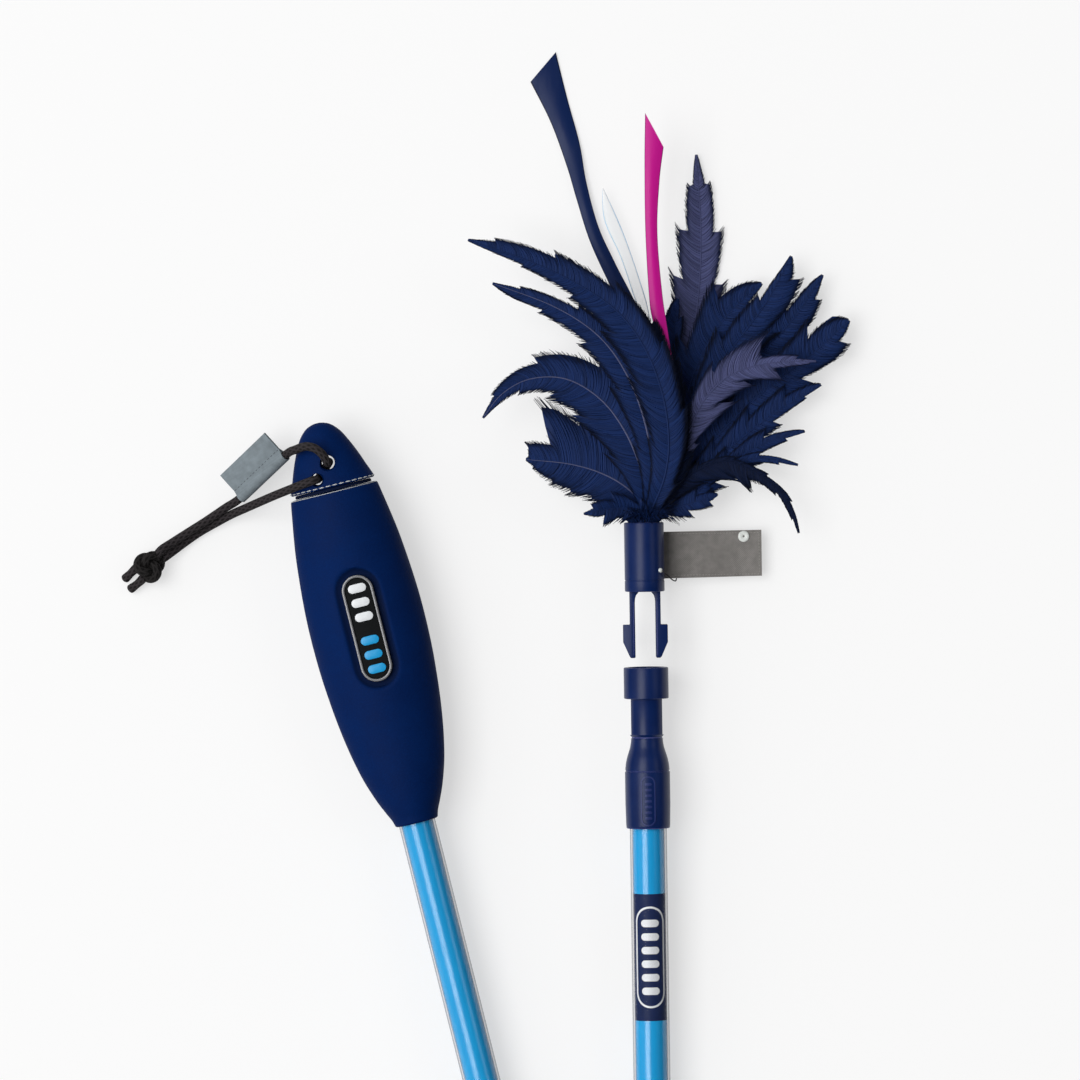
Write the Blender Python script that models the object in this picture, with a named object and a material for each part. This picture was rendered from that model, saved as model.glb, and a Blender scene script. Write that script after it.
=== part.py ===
"""Feather cat wand, laid flat: a handle section and a tip section side by side, the feather head drawn
out of its socket. Outlines are drawn on a plan grid (x to the right, y down), then laid on the ground."""

import math

import bpy
import numpy as np
from mathutils import Matrix, Vector

MM = 0.001
GRID = 0.3243 * MM          # one unit of the plan grid, in metres
ORIGIN = (570.69, 799.21)   # the grid point over the object's origin
FLOOR_LIFT = 0.02 * MM      # raises everything so that the lowest point stands on z = 0

# Layout: the two centre lines lean by these angles and meet at APEX on the grid
HANDLE_LEAN = math.atan(0.25)
TIP_LEAN = math.atan(0.0151)
APEX = (663.0, 1808.0)
END_TO_APEX = 88.0 * MM
END_HEIGHT = 7.0 * MM
RISE = 0.02170              # how much the centre lines climb from the tube ends to the handle and head

# Handle, in mm along and across its own centre line, from its lower end
HANDLE_ORIGIN = (416.8, 822.0)
GRIP_PROFILE = [
    (0.0, 6.7), (0.25, 7.05), (2.5, 7.75), (5.0, 8.95), (10.0, 11.1), (17.0, 13.45), (24.0, 15.1),
    (31.0, 16.35), (38.0, 17.3), (45.0, 18.0), (53.0, 18.6), (62.0, 18.9), (71.0, 18.85), (79.0, 18.45),
    (86.0, 17.9), (93.0, 17.2), (99.0, 16.35), (104.5, 15.45), (109.0, 14.7), (110.2, 14.45), (110.6, 14.0),
]
CAP_PROFILE = [
    (112.3, 13.3), (112.55, 13.75), (112.85, 13.8), (112.95, 13.1), (113.65, 12.95), (113.75, 13.5),
    (115.2, 13.0), (117.2, 12.2), (120.0, 11.2), (123.4, 9.8), (126.4, 8.4), (129.0, 7.0), (131.0, 5.4),
    (132.4, 3.7), (133.1, 2.0),
]
FLATNESS = 0.72             # thickness of the handle against its width, where it is widest
SEAM_RING = (110.9, 112.0, 12.7)
STITCH_RADIUS, STITCH_LINE, STITCH_COUNT = 0.24, (113.3, 13.62), 30
BADGE_CENTRE, BADGE_STRAIGHT = 65.3, 24.9
BADGE_RIM_R, BADGE_PLATE_R, POCKET_R = 5.1, 4.1, 7.2
POCKET_FLOOR = 11.7
EYELET = (0.5, 120.2, 2.3)
CORD_HOLE = (-4.3, 115.7, 1.9)

# Tubes and joining sleeve
TUBE_R, TUBE_BORE_R, CORE_R = 6.0, 5.3, 4.7
HANDLE_TUBE_END, HANDLE_TUBE_TOP = -241.6, 61.4
TIP_TUBE_END, TIP_TUBE_TOP = -229.8, 17.9
FIT_R = 6.3                 # bore of whatever goes over a tube
SLEEVE_R, SLEEVE_LENGTH = 7.0, 36.0
BAND = (-62.3, -21.1)

# Socket and head, in mm along the tip section's centre line, from the socket's lower end
TIP_ORIGIN = (648.3, 828.0)
SOCKET_TOP, COLLAR_BOTTOM, NECK_BOTTOM = 52.2, 42.1, 29.5
COLLAR_R, COLLAR_BORE_R, NECK_R, NECK_BORE_R = 7.25, 5.8, 5.15, 3.9
WINDOW_HALF, WINDOW_BOTTOM = 2.5, 30.3
FERRULE_BOTTOM, FERRULE_TOP, FERRULE_R, FERRULE_BORE_R = 76.8, 99.2, 6.45, 5.45
ARM_HALF, ARM_PIVOT = 2.2, (3.9, 78.0)

# Cord
CORD_R = 1.4

# Feather head: layers from the back to the front
LAYERS = [
    "feather_grey_back", "ribbon_navy", "ribbon_clear", "feather_centre", "feather_right_a",
    "feather_right_c", "feather_right_b", "feather_right_d", "feather_right_e", "feather_right_f",
    "feather_right_g", "down_right", "feather_strand", "feather_grey_front", "ribbon_magenta",
    "feather_left_back", "feather_left_d", "feather_left_c", "feather_left_b", "feather_left_a",
    "down_left",
]

NAVY_FOAM = ((0.006, 0.021, 0.088), 0.75, 0.0, 1.0)
DARK_FOAM = ((0.002, 0.006, 0.026), 0.8, 0.0, 1.0)
NAVY_PLASTIC = ((0.010, 0.020, 0.080), 0.28, 0.0, 1.0)
NAVY_FEATHER = ((0.009, 0.023, 0.082), 0.7, 0.0, 1.0)
DARK_FEATHER = ((0.003, 0.008, 0.034), 0.7, 0.0, 1.0)
GREY_FEATHER = ((0.068, 0.075, 0.155), 0.7, 0.0, 1.0)
MAGENTA = ((0.55, 0.021, 0.29), 0.3, 0.0, 1.0)
CLEAR_FILM = ((0.80, 0.92, 0.98), 0.1, 0.0, 0.4)
CLEAR_TUBE = ((0.85, 0.87, 0.90), 0.05, 0.0, 0.25)
BLUE_CORE = ((0.0, 0.34, 0.75), 0.25, 0.0, 1.0)
CORD_GREY = ((0.034, 0.030, 0.031), 0.8, 0.0, 1.0)
LABEL_GREY = ((0.20, 0.24, 0.26), 0.9, 0.0, 1.0)
TAG_GREY = ((0.22, 0.21, 0.20), 0.85, 0.0, 1.0)
RIM_GREY = ((0.21, 0.21, 0.22), 0.35, 0.8, 1.0)
PLATE_BLACK = ((0.005, 0.007, 0.008), 0.35, 0.0, 1.0)
PALE = ((0.78, 0.80, 0.78), 0.4, 0.0, 1.0)


# Laying things out

def clear_scene():
    for obj in list(bpy.data.objects):
        bpy.data.objects.remove(obj, do_unlink=True)


def plan(point):
    """A grid point as world x and y."""
    return Vector(((point[0] - ORIGIN[0]) * GRID, (ORIGIN[1] - point[1]) * GRID, 0.0))


def tube_end(lean):
    """The plan position of a tube's open end, measured back from where the centre lines meet."""
    back = Vector((-math.sin(lean), math.cos(lean), 0.0)) * END_TO_APEX
    return plan(APEX) + back


def ground_plane():
    """World matrix of the plane that holds both centre lines, and its pivot between the tube ends."""
    half = 0.5 * (HANDLE_LEAN - TIP_LEAN)
    middle = 0.5 * (HANDLE_LEAN + TIP_LEAN)
    pivot = 0.5 * (tube_end(HANDLE_LEAN) + tube_end(TIP_LEAN))
    tilt = math.asin(RISE / math.cos(half))
    across = Vector((math.cos(middle), math.sin(middle), 0.0))
    lift = Matrix.Translation(pivot + Vector((0.0, 0.0, END_HEIGHT + FLOOR_LIFT)))
    return lift @ Matrix.Rotation(tilt, 4, across), pivot


def section_frame(grid_point, lean):
    """World matrix with +Y up a section's centre line and +Z out of the layout plane."""
    tilted, pivot = ground_plane()
    return tilted @ Matrix.Translation(plan(grid_point) - pivot) @ Matrix.Rotation(lean, 4, "Z")


HANDLE = section_frame(HANDLE_ORIGIN, HANDLE_LEAN)
TIP = section_frame(TIP_ORIGIN, TIP_LEAN)


def swing_pole():
    """The point about which the tip section turns to lie in line with the handle tube."""
    tilted, pivot = ground_plane()
    face_gap = 0.6 * MM
    start = tube_end(TIP_LEAN)
    away = Vector((math.sin(HANDLE_LEAN), -math.cos(HANDLE_LEAN), 0.0))
    finish = tube_end(HANDLE_LEAN) + away * face_gap
    turn = (HANDLE_LEAN - TIP_LEAN) - math.pi
    chord = finish - start
    side = Vector((-chord.y, chord.x, 0.0)) * (0.5 / math.tan(0.5 * turn))
    pole = 0.5 * (start + finish) + side
    return tilted @ Matrix.Translation(pole - pivot), math.degrees(turn)


def empty(name, matrix, parent=None):
    obj = bpy.data.objects.new(name, None)
    obj.empty_display_size = 0.01
    bpy.context.scene.collection.objects.link(obj)
    attach(obj, matrix, parent)
    return obj


WORLD_OF = {}


def attach(obj, matrix, parent):
    """Places an object in the world, as a child of an empty where one is given."""
    WORLD_OF[obj.name] = matrix.copy()
    if parent is None:
        obj.matrix_world = matrix
        return
    obj.parent = parent
    obj.matrix_parent_inverse = WORLD_OF[parent.name].inverted()
    obj.matrix_basis = matrix


# Building meshes

def material(name, look):
    colour, roughness, metallic, alpha = look
    mat = bpy.data.materials.new(name)
    mat.use_nodes = True
    mat.diffuse_color = (*colour, alpha)
    shader = mat.node_tree.nodes["Principled BSDF"]
    shader.inputs["Base Color"].default_value = (*colour, 1.0)
    shader.inputs["Roughness"].default_value = roughness
    shader.inputs["Metallic"].default_value = metallic
    shader.inputs["Alpha"].default_value = alpha
    return mat


def outward(points, faces):
    """The faces, turned round where they would enclose a negative volume."""
    points = np.asarray(points, float)
    volume = 0.0
    for face in faces:
        for i in range(1, len(face) - 1):
            volume += float(np.linalg.det(points[[face[0], face[i], face[i + 1]]]))
    return faces if volume > 0 else [tuple(reversed(face)) for face in faces]


def solid(name, points, faces, look, frame, parent=None, origin=(0.0, 0.0, 0.0), sharp=35.0):
    """A mesh object from points in mm in a section's frame, with its own origin at a point of that frame."""
    origin = np.asarray(origin, float)
    points = np.asarray(points, float) - origin
    mesh = bpy.data.meshes.new(name)
    mesh.from_pydata([tuple(p * MM) for p in points], [], outward(points, faces))
    mesh.polygons.foreach_set("use_smooth", [True] * len(mesh.polygons))
    mesh.set_sharp_from_angle(angle=math.radians(sharp))
    mesh.update()
    obj = bpy.data.objects.new(name, mesh)
    if look is not None:
        mesh.materials.append(material(name, look))
    bpy.context.scene.collection.objects.link(obj)
    attach(obj, frame @ Matrix.Translation(Vector(origin * MM)), parent)
    return obj


def skin(rings, loop=False):
    """Points and faces of a body through rings of equal length: a loop of rings, or one closed by caps."""
    count = len(rings[0])
    points = [p for ring in rings for p in ring]
    faces = []
    last = len(rings) if loop else len(rings) - 1
    for i in range(last):
        a, b = i * count, ((i + 1) % len(rings)) * count
        for j in range(count):
            k = (j + 1) % count
            faces.append((a + j, a + k, b + k, b + j))
    if not loop:
        faces.append(tuple(reversed(range(count))))
        faces.append(tuple(range((len(rings) - 1) * count, len(rings) * count)))
    return points, faces


def lathe(profile, segments=32, loop=False):
    """A turned body from (radius, height) pairs round the section's centre line."""
    angles = np.linspace(0.0, 2.0 * math.pi, segments, endpoint=False)
    if loop:
        return skin([[(r * math.cos(a), v, r * math.sin(a)) for a in angles] for r, v in profile], True)
    points, faces, rings = [], [], []
    for r, v in profile:
        start = len(points)
        if r == 0.0:
            points.append((0.0, v, 0.0))
            rings.append([start])
        else:
            points += [(r * math.cos(a), v, r * math.sin(a)) for a in angles]
            rings.append(list(range(start, start + segments)))
    for one, two in zip(rings, rings[1:]):
        for j in range(segments):
            k = (j + 1) % segments
            if len(one) == 1:
                faces.append((one[0], two[k], two[j]))
            elif len(two) == 1:
                faces.append((one[j], one[k], two[0]))
            else:
                faces.append((one[j], one[k], two[k], two[j]))
    return points, faces


def prism(outline, low, high):
    """A body between two heights over an outline of (u, v) points."""
    return skin([[(u, v, low) for u, v in outline], [(u, v, high) for u, v in outline]])


def box(low, high):
    (u0, v0, w0), (u1, v1, w1) = low, high
    return prism([(u0, v0), (u1, v0), (u1, v1), (u0, v1)], w0, w1)


def stadium(centre, straight, radius, steps=10):
    """Outline of a slot along +V with round ends."""
    top = [(radius * math.cos(a), centre + 0.5 * straight + radius * math.sin(a))
           for a in np.linspace(0.0, math.pi, steps)]
    bottom = [(-u, 2.0 * centre - v) for u, v in top]
    return top + bottom


def cutter(name, points, faces, frame):
    obj = solid(name, points, faces, None, frame)
    obj.hide_render = True
    obj.display_type = "WIRE"
    return obj


def cut(obj, tool):
    modifier = obj.modifiers.new(tool.name, "BOOLEAN")
    modifier.operation = "DIFFERENCE"
    modifier.solver = "EXACT"
    modifier.object = tool


def bevel(obj, width, segments=2, angle=40.0):
    modifier = obj.modifiers.new("edge_round", "BEVEL")
    modifier.width = width * MM
    modifier.segments = segments
    modifier.limit_method = "ANGLE"
    modifier.angle_limit = math.radians(angle)
    modifier.harden_normals = False


def curve_through(points, count):
    """A smooth line through points, as count points spaced evenly along it."""
    pts = np.asarray(points, float)
    ends = np.vstack([2 * pts[0] - pts[1], pts, 2 * pts[-1] - pts[-2]])
    fine = []
    for i in range(1, len(ends) - 2):
        a, b, c, d = ends[i - 1:i + 3]
        for t in np.linspace(0.0, 1.0, 24, endpoint=False):
            fine.append(0.5 * (2 * b + (c - a) * t + (2 * a - 5 * b + 4 * c - d) * t ** 2
                               + (3 * b - a - 3 * c + d) * t ** 3))
    fine.append(pts[-1])
    fine = np.array(fine)
    along = np.concatenate([[0.0], np.cumsum(np.linalg.norm(np.diff(fine, axis=0), axis=1))])
    wanted = np.linspace(0.0, along[-1], count)
    return np.column_stack([np.interp(wanted, along, fine[:, i]) for i in range(pts.shape[1])])


# Handle section

def oval(v, half, segments=36):
    """A ring of the handle: round at the tube, flattened over the grip."""
    flat = FLATNESS + (1.0 - FLATNESS) * max(0.0, 1.0 - v / 34.0) ** 2
    flat += 0.10 * max(0.0, (v - 112.0) / 21.0)
    angles = np.linspace(0.0, 2.0 * math.pi, segments, endpoint=False)
    return [(half * math.cos(a), v, half * flat * math.sin(a)) for a in angles]


def build_handle():
    grip = solid("handle_grip", *skin([oval(v, r) for v, r in GRIP_PROFILE]), NAVY_FOAM, HANDLE)
    cut(grip, cutter("cut_tube_bore", *lathe([(0.0, -2.0), (FIT_R, -2.0), (FIT_R, 62.0), (0.0, 62.0)]), HANDLE))
    pocket = prism(stadium(BADGE_CENTRE, BADGE_STRAIGHT, POCKET_R), POCKET_FLOOR, 17.0)
    cut(grip, cutter("cut_badge_pocket", *pocket, HANDLE))

    cap = solid("handle_cap", *skin([oval(v, r) for v, r in CAP_PROFILE]), NAVY_FOAM, HANDLE)
    for name, (u, v, r) in (("cut_eyelet", EYELET), ("cut_cord_hole", CORD_HOLE)):
        angles = np.linspace(0.0, 2.0 * math.pi, 24, endpoint=False)
        ring = [(u + r * math.cos(a), v + r * math.sin(a)) for a in angles]
        cut(cap, cutter(name, *prism(ring, -16.0, 16.0), HANDLE))

    low, high, half = SEAM_RING
    rings = [oval(low, half - 0.15), oval(low + 0.2, half), oval(high - 0.2, half - 0.1), oval(high, half - 0.25)]
    solid("seam_ring", *skin(rings), DARK_FOAM, HANDLE)
    build_stitching()

    rim = stadium(BADGE_CENTRE, BADGE_STRAIGHT, BADGE_RIM_R)
    inner = stadium(BADGE_CENTRE, BADGE_STRAIGHT, BADGE_PLATE_R + 0.3)
    low, high = POCKET_FLOOR + 0.3, POCKET_FLOOR + 1.95
    rings = [[(u, v, low) for u, v in rim], [(u, v, high) for u, v in rim],
             [(u, v, high) for u, v in inner], [(u, v, low) for u, v in inner]]
    bevel(solid("badge_rim", *skin(rings, True), RIM_GREY, HANDLE), 0.18, 1)
    plate = stadium(BADGE_CENTRE, BADGE_STRAIGHT, BADGE_PLATE_R)
    bevel(solid("badge_plate", *prism(plate, low, high - 0.35), PLATE_BLACK, HANDLE), 0.12, 1)

    tube = [(TUBE_R, HANDLE_TUBE_END), (TUBE_R, HANDLE_TUBE_TOP), (TUBE_BORE_R, HANDLE_TUBE_TOP),
            (TUBE_BORE_R, HANDLE_TUBE_END)]
    solid("handle_tube", *lathe(tube, loop=True), CLEAR_TUBE, HANDLE)
    core = [(0.0, HANDLE_TUBE_END + 0.3), (CORE_R, HANDLE_TUBE_END + 0.3),
            (CORE_R, HANDLE_TUBE_TOP - 0.3), (0.0, HANDLE_TUBE_TOP - 0.3)]
    solid("handle_core", *lathe(core), BLUE_CORE, HANDLE)


def build_stitching():
    """One thread round the cap's lower lip, thick at each stitch and thin where it dips between two."""
    v, half = STITCH_LINE
    path = np.array(oval(v, half, 480))
    steps = np.linalg.norm(np.diff(np.vstack([path, path[:1]]), axis=0), axis=1)
    along = np.concatenate([[0.0], np.cumsum(steps)])
    closed = np.vstack([path, path[:1]])
    count = STITCH_COUNT * 3
    wanted = np.linspace(0.0, along[-1], count, endpoint=False)
    line = np.column_stack([np.interp(wanted, along, closed[:, i]) for i in range(3)])
    rings = []
    for i, centre in enumerate(line):
        ahead = line[(i + 1) % count] - line[i - 1]
        ahead /= np.linalg.norm(ahead)
        out = np.cross(ahead, (0.0, 1.0, 0.0))
        radius = STITCH_RADIUS * (0.55 if i % 3 == 0 else 1.0)
        ring = []
        for a in np.linspace(0.0, 2.0 * math.pi, 4, endpoint=False):
            ring.append(tuple(centre + radius * (math.cos(a) * out + math.sin(a) * np.array((0.0, 1.0, 0.0)))))
        rings.append(ring)
    solid("seam_stitching", *skin(rings, True), LABEL_GREY, HANDLE, sharp=180.0)


# Wrist cord, in world space: grid x, grid y and height above the ground in mm

def cord_world(point):
    flat = plan(point[:2])
    return Vector((flat.x, flat.y, point[2] * MM + FLOOR_LIFT))


def hole_point(hole, height):
    return HANDLE @ Vector((hole[0] * MM, hole[1] * MM, height * MM))


def cord_route():
    """The cord's centre line from the knot, along the lower strand, through the cap and back."""
    lower = [(164.5, 556.5, 4.0), (182.7, 542.6, 1.8), (198.0, 532.0, 1.7), (213.1, 523.4, 2.2),
             (230.0, 514.5, 4.2), (244.9, 508.1, 7.6), (260.0, 501.8, 12.2), (275.5, 495.5, 17.6),
             (293.0, 488.8, 22.4), (305.0, 484.2, 25.0), (313.5, 481.2, 26.2)]
    upper = [(324.0, 455.5, 26.1), (316.8, 449.2, 26.3), (307.0, 447.0, 25.0), (296.5, 450.0, 21.6)]
    label = [(286.5, 454.8, 17.6), (262.5, 476.9, 12.2), (239.0, 498.3, 7.0)]
    home = [(224.0, 508.0, 5.2), (205.5, 520.5, 4.4), (187.2, 532.1, 4.4), (171.0, 542.5, 5.2), (160.5, 549.5, 6.6)]
    points = [cord_world(p) for p in lower]
    points += [hole_point(CORD_HOLE, w) for w in (10.4, 8.0, 0.0, -8.3)]
    a, b = hole_point(CORD_HOLE, -10.6), hole_point(EYELET, -10.2)
    points += [a.lerp(b, 0.18), a.lerp(b, 0.5) - Vector((0.0, 0.0, 0.5 * MM)), a.lerp(b, 0.82)]
    points += [hole_point(EYELET, w) for w in (-7.9, 0.0, 7.4, 9.9)]
    points += [cord_world(p) for p in upper + label + home]
    return points


def rod(name, points, radius, look, count, taper=None):
    """A cord as a bevelled line of straight stretches, closed at both ends."""
    line = curve_through([tuple(p) for p in points], count)
    data = bpy.data.curves.new(name, "CURVE")
    data.dimensions = "3D"
    data.bevel_depth = radius * MM
    data.bevel_resolution = 2
    data.use_fill_caps = True
    spline = data.splines.new("POLY")
    spline.points.add(count - 1)
    for i, p in enumerate(line):
        spline.points[i].co = (*p, 1.0)
        spline.points[i].radius = 1.0 if taper is None else float(taper(i / (count - 1)))
    data.materials.append(material(name, look))
    obj = bpy.data.objects.new(name, data)
    bpy.context.scene.collection.objects.link(obj)
    WORLD_OF[name] = Matrix.Identity(4)
    return obj


def build_cord():
    rod("cord_loop", cord_route(), CORD_R, CORD_GREY, 76)

    centre = np.array(cord_world((148.5, 566.0, 5.6))) / MM
    points, faces = [], []
    rows, columns = 11, 18
    for i in range(rows):
        polar = math.pi * i / (rows - 1)
        for j in range(columns):
            turn = 2.0 * math.pi * j / columns
            lobe = 1.0 + 0.10 * math.sin(polar) * math.cos(3.0 * turn + 2.5 * polar)
            x = 4.9 * lobe * math.sin(polar) * math.cos(turn)
            y = 5.1 * lobe * math.sin(polar) * math.sin(turn)
            z = 4.3 * math.cos(polar)
            points.append((x, y, z))
    kept = [points[0]] + points[columns:-columns] + [points[-1]]
    rings = [[0]] + [[1 + (i - 1) * columns + j for j in range(columns)] for i in range(1, rows - 1)]
    rings.append([len(kept) - 1])
    for one, two in zip(rings, rings[1:]):
        for j in range(columns):
            k = (j + 1) % columns
            if len(one) == 1:
                faces.append((one[0], two[j], two[k]))
            elif len(two) == 1:
                faces.append((one[j], two[0], one[k]))
            else:
                faces.append((one[j], two[j], two[k], one[k]))
    knot = np.array(kept) + centre
    solid("cord_knot", knot, faces, CORD_GREY, Matrix.Identity(4), sharp=180.0)

    blunt = lambda t: 1.0 if t < 0.86 else max(0.35, math.sqrt(max(0.0, 1.0 - ((t - 0.86) / 0.15) ** 2)))
    one = [(131.0, 571.5, 4.0), (126.2, 576.0, 2.6), (121.3, 580.4, 1.75)]
    two = [(138.5, 581.5, 3.8), (132.5, 586.3, 2.4), (126.4, 590.7, 1.75)]
    rod("cord_tail_a", [cord_world(p) for p in one], CORD_R, CORD_GREY, 12, blunt)
    rod("cord_tail_b", [cord_world(p) for p in two], CORD_R, CORD_GREY, 12, blunt)
    build_label()


def build_label():
    """A woven strip folded round the upper strand: both leaves lie on each other beyond the fold."""
    start = np.array(cord_world((285.6, 455.6, 17.4))) / MM
    finish = np.array(cord_world((240.0, 497.4, 7.22))) / MM
    along = (finish - start) / np.linalg.norm(finish - start)
    side = np.cross(along, (0.0, 0.0, 1.0))
    side /= np.linalg.norm(side)
    if side[1] < 0:
        side = -side
    up = np.cross(side, along)
    up = up if up[2] > 0 else -up
    inner, outer = CORD_R + 0.35, CORD_R + 0.8
    reach = 9.9
    section = [(reach, 0.53), (reach * 0.6, 0.53), (outer + 0.7, 0.6)]
    arc = np.linspace(math.radians(42.0), math.radians(318.0), 13)
    section += [(outer * math.cos(a), outer * math.sin(a)) for a in arc]
    section += [(outer + 0.7, -0.6), (reach * 0.6, -0.53), (reach, -0.53)]
    section += [(reach, -0.07), (reach * 0.6, -0.07), (outer + 0.3, -0.12)]
    back = np.linspace(math.radians(326.0), math.radians(34.0), 13)
    section += [(inner * math.cos(a), inner * math.sin(a)) for a in back]
    section += [(outer + 0.3, 0.12), (reach * 0.6, 0.07), (reach, 0.07)]
    rings = []
    for t in np.linspace(0.0, 1.0, 5):
        base = start + (finish - start) * t
        ring = []
        for s, h in section:
            droop = -0.035 * max(0.0, s - outer) ** 2 * (0.4 + 0.6 * t)
            ring.append(tuple(base + side * s + up * h + np.array((0.0, 0.0, droop))))
        rings.append(ring)
    solid("cord_label", *skin(rings), LABEL_GREY, Matrix.Identity(4), sharp=50.0)


# Joining sleeve

def build_sleeve():
    low = HANDLE_TUBE_END + 0.5
    high = low + SLEEVE_LENGTH
    profile = [(SLEEVE_R - 0.25, low), (SLEEVE_R, low + 0.25)]
    for i in range(2):
        at = low + 4.0 + 3.2 * i
        profile += [(SLEEVE_R, at), (SLEEVE_R - 0.3, at + 0.4), (SLEEVE_R - 0.3, at + 0.9), (SLEEVE_R, at + 1.3)]
    profile += [(SLEEVE_R, high - 0.25), (SLEEVE_R - 0.25, high), (FIT_R, high), (FIT_R, low)]
    pull = empty("joint_sleeve_slide", HANDLE @ Matrix.Translation((0.0, low * MM, 0.0)))
    solid("joint_sleeve", *lathe(profile, loop=True), NAVY_PLASTIC, HANDLE, pull, (0.0, low, 0.0))


# Tip section

def build_tip(parent):
    tube = [(TUBE_R, TIP_TUBE_END), (TUBE_R, TIP_TUBE_TOP), (TUBE_BORE_R, TIP_TUBE_TOP), (TUBE_BORE_R, TIP_TUBE_END)]
    solid("tip_tube", *lathe(tube, loop=True), CLEAR_TUBE, TIP, parent)
    core = [(0.0, TIP_TUBE_END + 0.3), (CORE_R, TIP_TUBE_END + 0.3), (CORE_R, TIP_TUBE_TOP - 0.3),
            (0.0, TIP_TUBE_TOP - 0.3)]
    solid("tip_core", *lathe(core), BLUE_CORE, TIP, parent)
    low, high = BAND
    band = [(CORE_R + 0.2, low), (CORE_R + 0.4, low), (CORE_R + 0.4, high), (CORE_R + 0.2, high)]
    solid("tube_band", *lathe(band, loop=True), NAVY_FOAM, TIP, parent)

    groove = 0.28
    outer = [
        (6.75, 0.0), (7.05, 0.3), (7.15, 1.2), (7.3, 8.0), (7.3, 18.35), (7.3 - groove, 18.5),
        (7.3 - groove, 18.75), (7.2, 18.95), (6.98, 21.0), (6.55, 23.0), (5.95, 24.9), (5.5, 26.4),
        (5.24, 27.9), (NECK_R, NECK_BOTTOM - 0.35), (NECK_R - 0.2, NECK_BOTTOM - 0.15),
        (NECK_R - 0.2, NECK_BOTTOM + 0.15), (NECK_R, NECK_BOTTOM + 0.35), (NECK_R, COLLAR_BOTTOM),
        (COLLAR_R - 0.2, COLLAR_BOTTOM), (COLLAR_R, COLLAR_BOTTOM + 0.2), (COLLAR_R, SOCKET_TOP - 0.25),
        (COLLAR_R - 0.25, SOCKET_TOP),
    ]
    inner = [
        (COLLAR_BORE_R + 0.15, SOCKET_TOP), (COLLAR_BORE_R, SOCKET_TOP - 0.2), (COLLAR_BORE_R, COLLAR_BOTTOM + 0.5),
        (NECK_BORE_R, COLLAR_BOTTOM + 0.5), (NECK_BORE_R, 20.2), (FIT_R, 18.5), (FIT_R, 0.0),
    ]
    socket = solid("socket_housing", *lathe(outer + inner, loop=True), NAVY_PLASTIC, TIP, parent)
    window = box((-5.65, WINDOW_BOTTOM, -WINDOW_HALF), (5.65, COLLAR_BOTTOM + 0.6, WINDOW_HALF))
    cut(socket, cutter("cut_windows", *window, TIP))


# Head

def arm_outline():
    """The right-hand arm seen from the front: root, fillet, leg and barb."""
    return [
        (5.02, 78.9), (5.02, 66.1), (7.05, 66.1), (7.24, 65.9), (7.24, 60.4), (5.2, 55.8), (4.8, 55.3),
        (3.6, 55.3), (3.31, 55.6), (3.31, 73.3), (3.2, 74.6), (2.85, 75.7), (2.15, 76.5), (2.15, 78.9),
    ]


def build_arms(parent):
    for name, side in (("snap_arm_right", 1.0), ("snap_arm_left", -1.0)):
        outline = [(side * u, v) for u, v in arm_outline()]
        pivot = (side * ARM_PIVOT[0], ARM_PIVOT[1], 0.0)
        flex = empty(name + "_flex", TIP @ Matrix.Translation(Vector(pivot) * MM), parent)
        arm = solid(name, *prism(outline, -ARM_HALF, ARM_HALF), NAVY_PLASTIC, TIP, flex, pivot)
        bevel(arm, 0.15, 1, 50.0)


def build_ferrule(parent):
    profile = [
        (0.0, FERRULE_BOTTOM), (FERRULE_R - 0.2, FERRULE_BOTTOM), (FERRULE_R, FERRULE_BOTTOM + 0.2),
        (FERRULE_R, FERRULE_TOP - 0.3), (FERRULE_R - 0.25, FERRULE_TOP), (FERRULE_BORE_R + 0.2, FERRULE_TOP),
        (FERRULE_BORE_R, FERRULE_TOP - 0.3), (FERRULE_BORE_R, 79.9), (0.0, 79.9),
    ]
    ferrule = solid("head_ferrule", *lathe(profile), NAVY_PLASTIC, TIP, parent)
    for name, side in (("cut_root_right", 1.0), ("cut_root_left", -1.0)):
        low, high = sorted((side * 1.8, side * 5.35))
        root = box((low, FERRULE_BOTTOM - 1.0, -ARM_HALF - 0.3), (high, 79.25, ARM_HALF + 0.3))
        cut(ferrule, cutter(name, *root, TIP))


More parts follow.
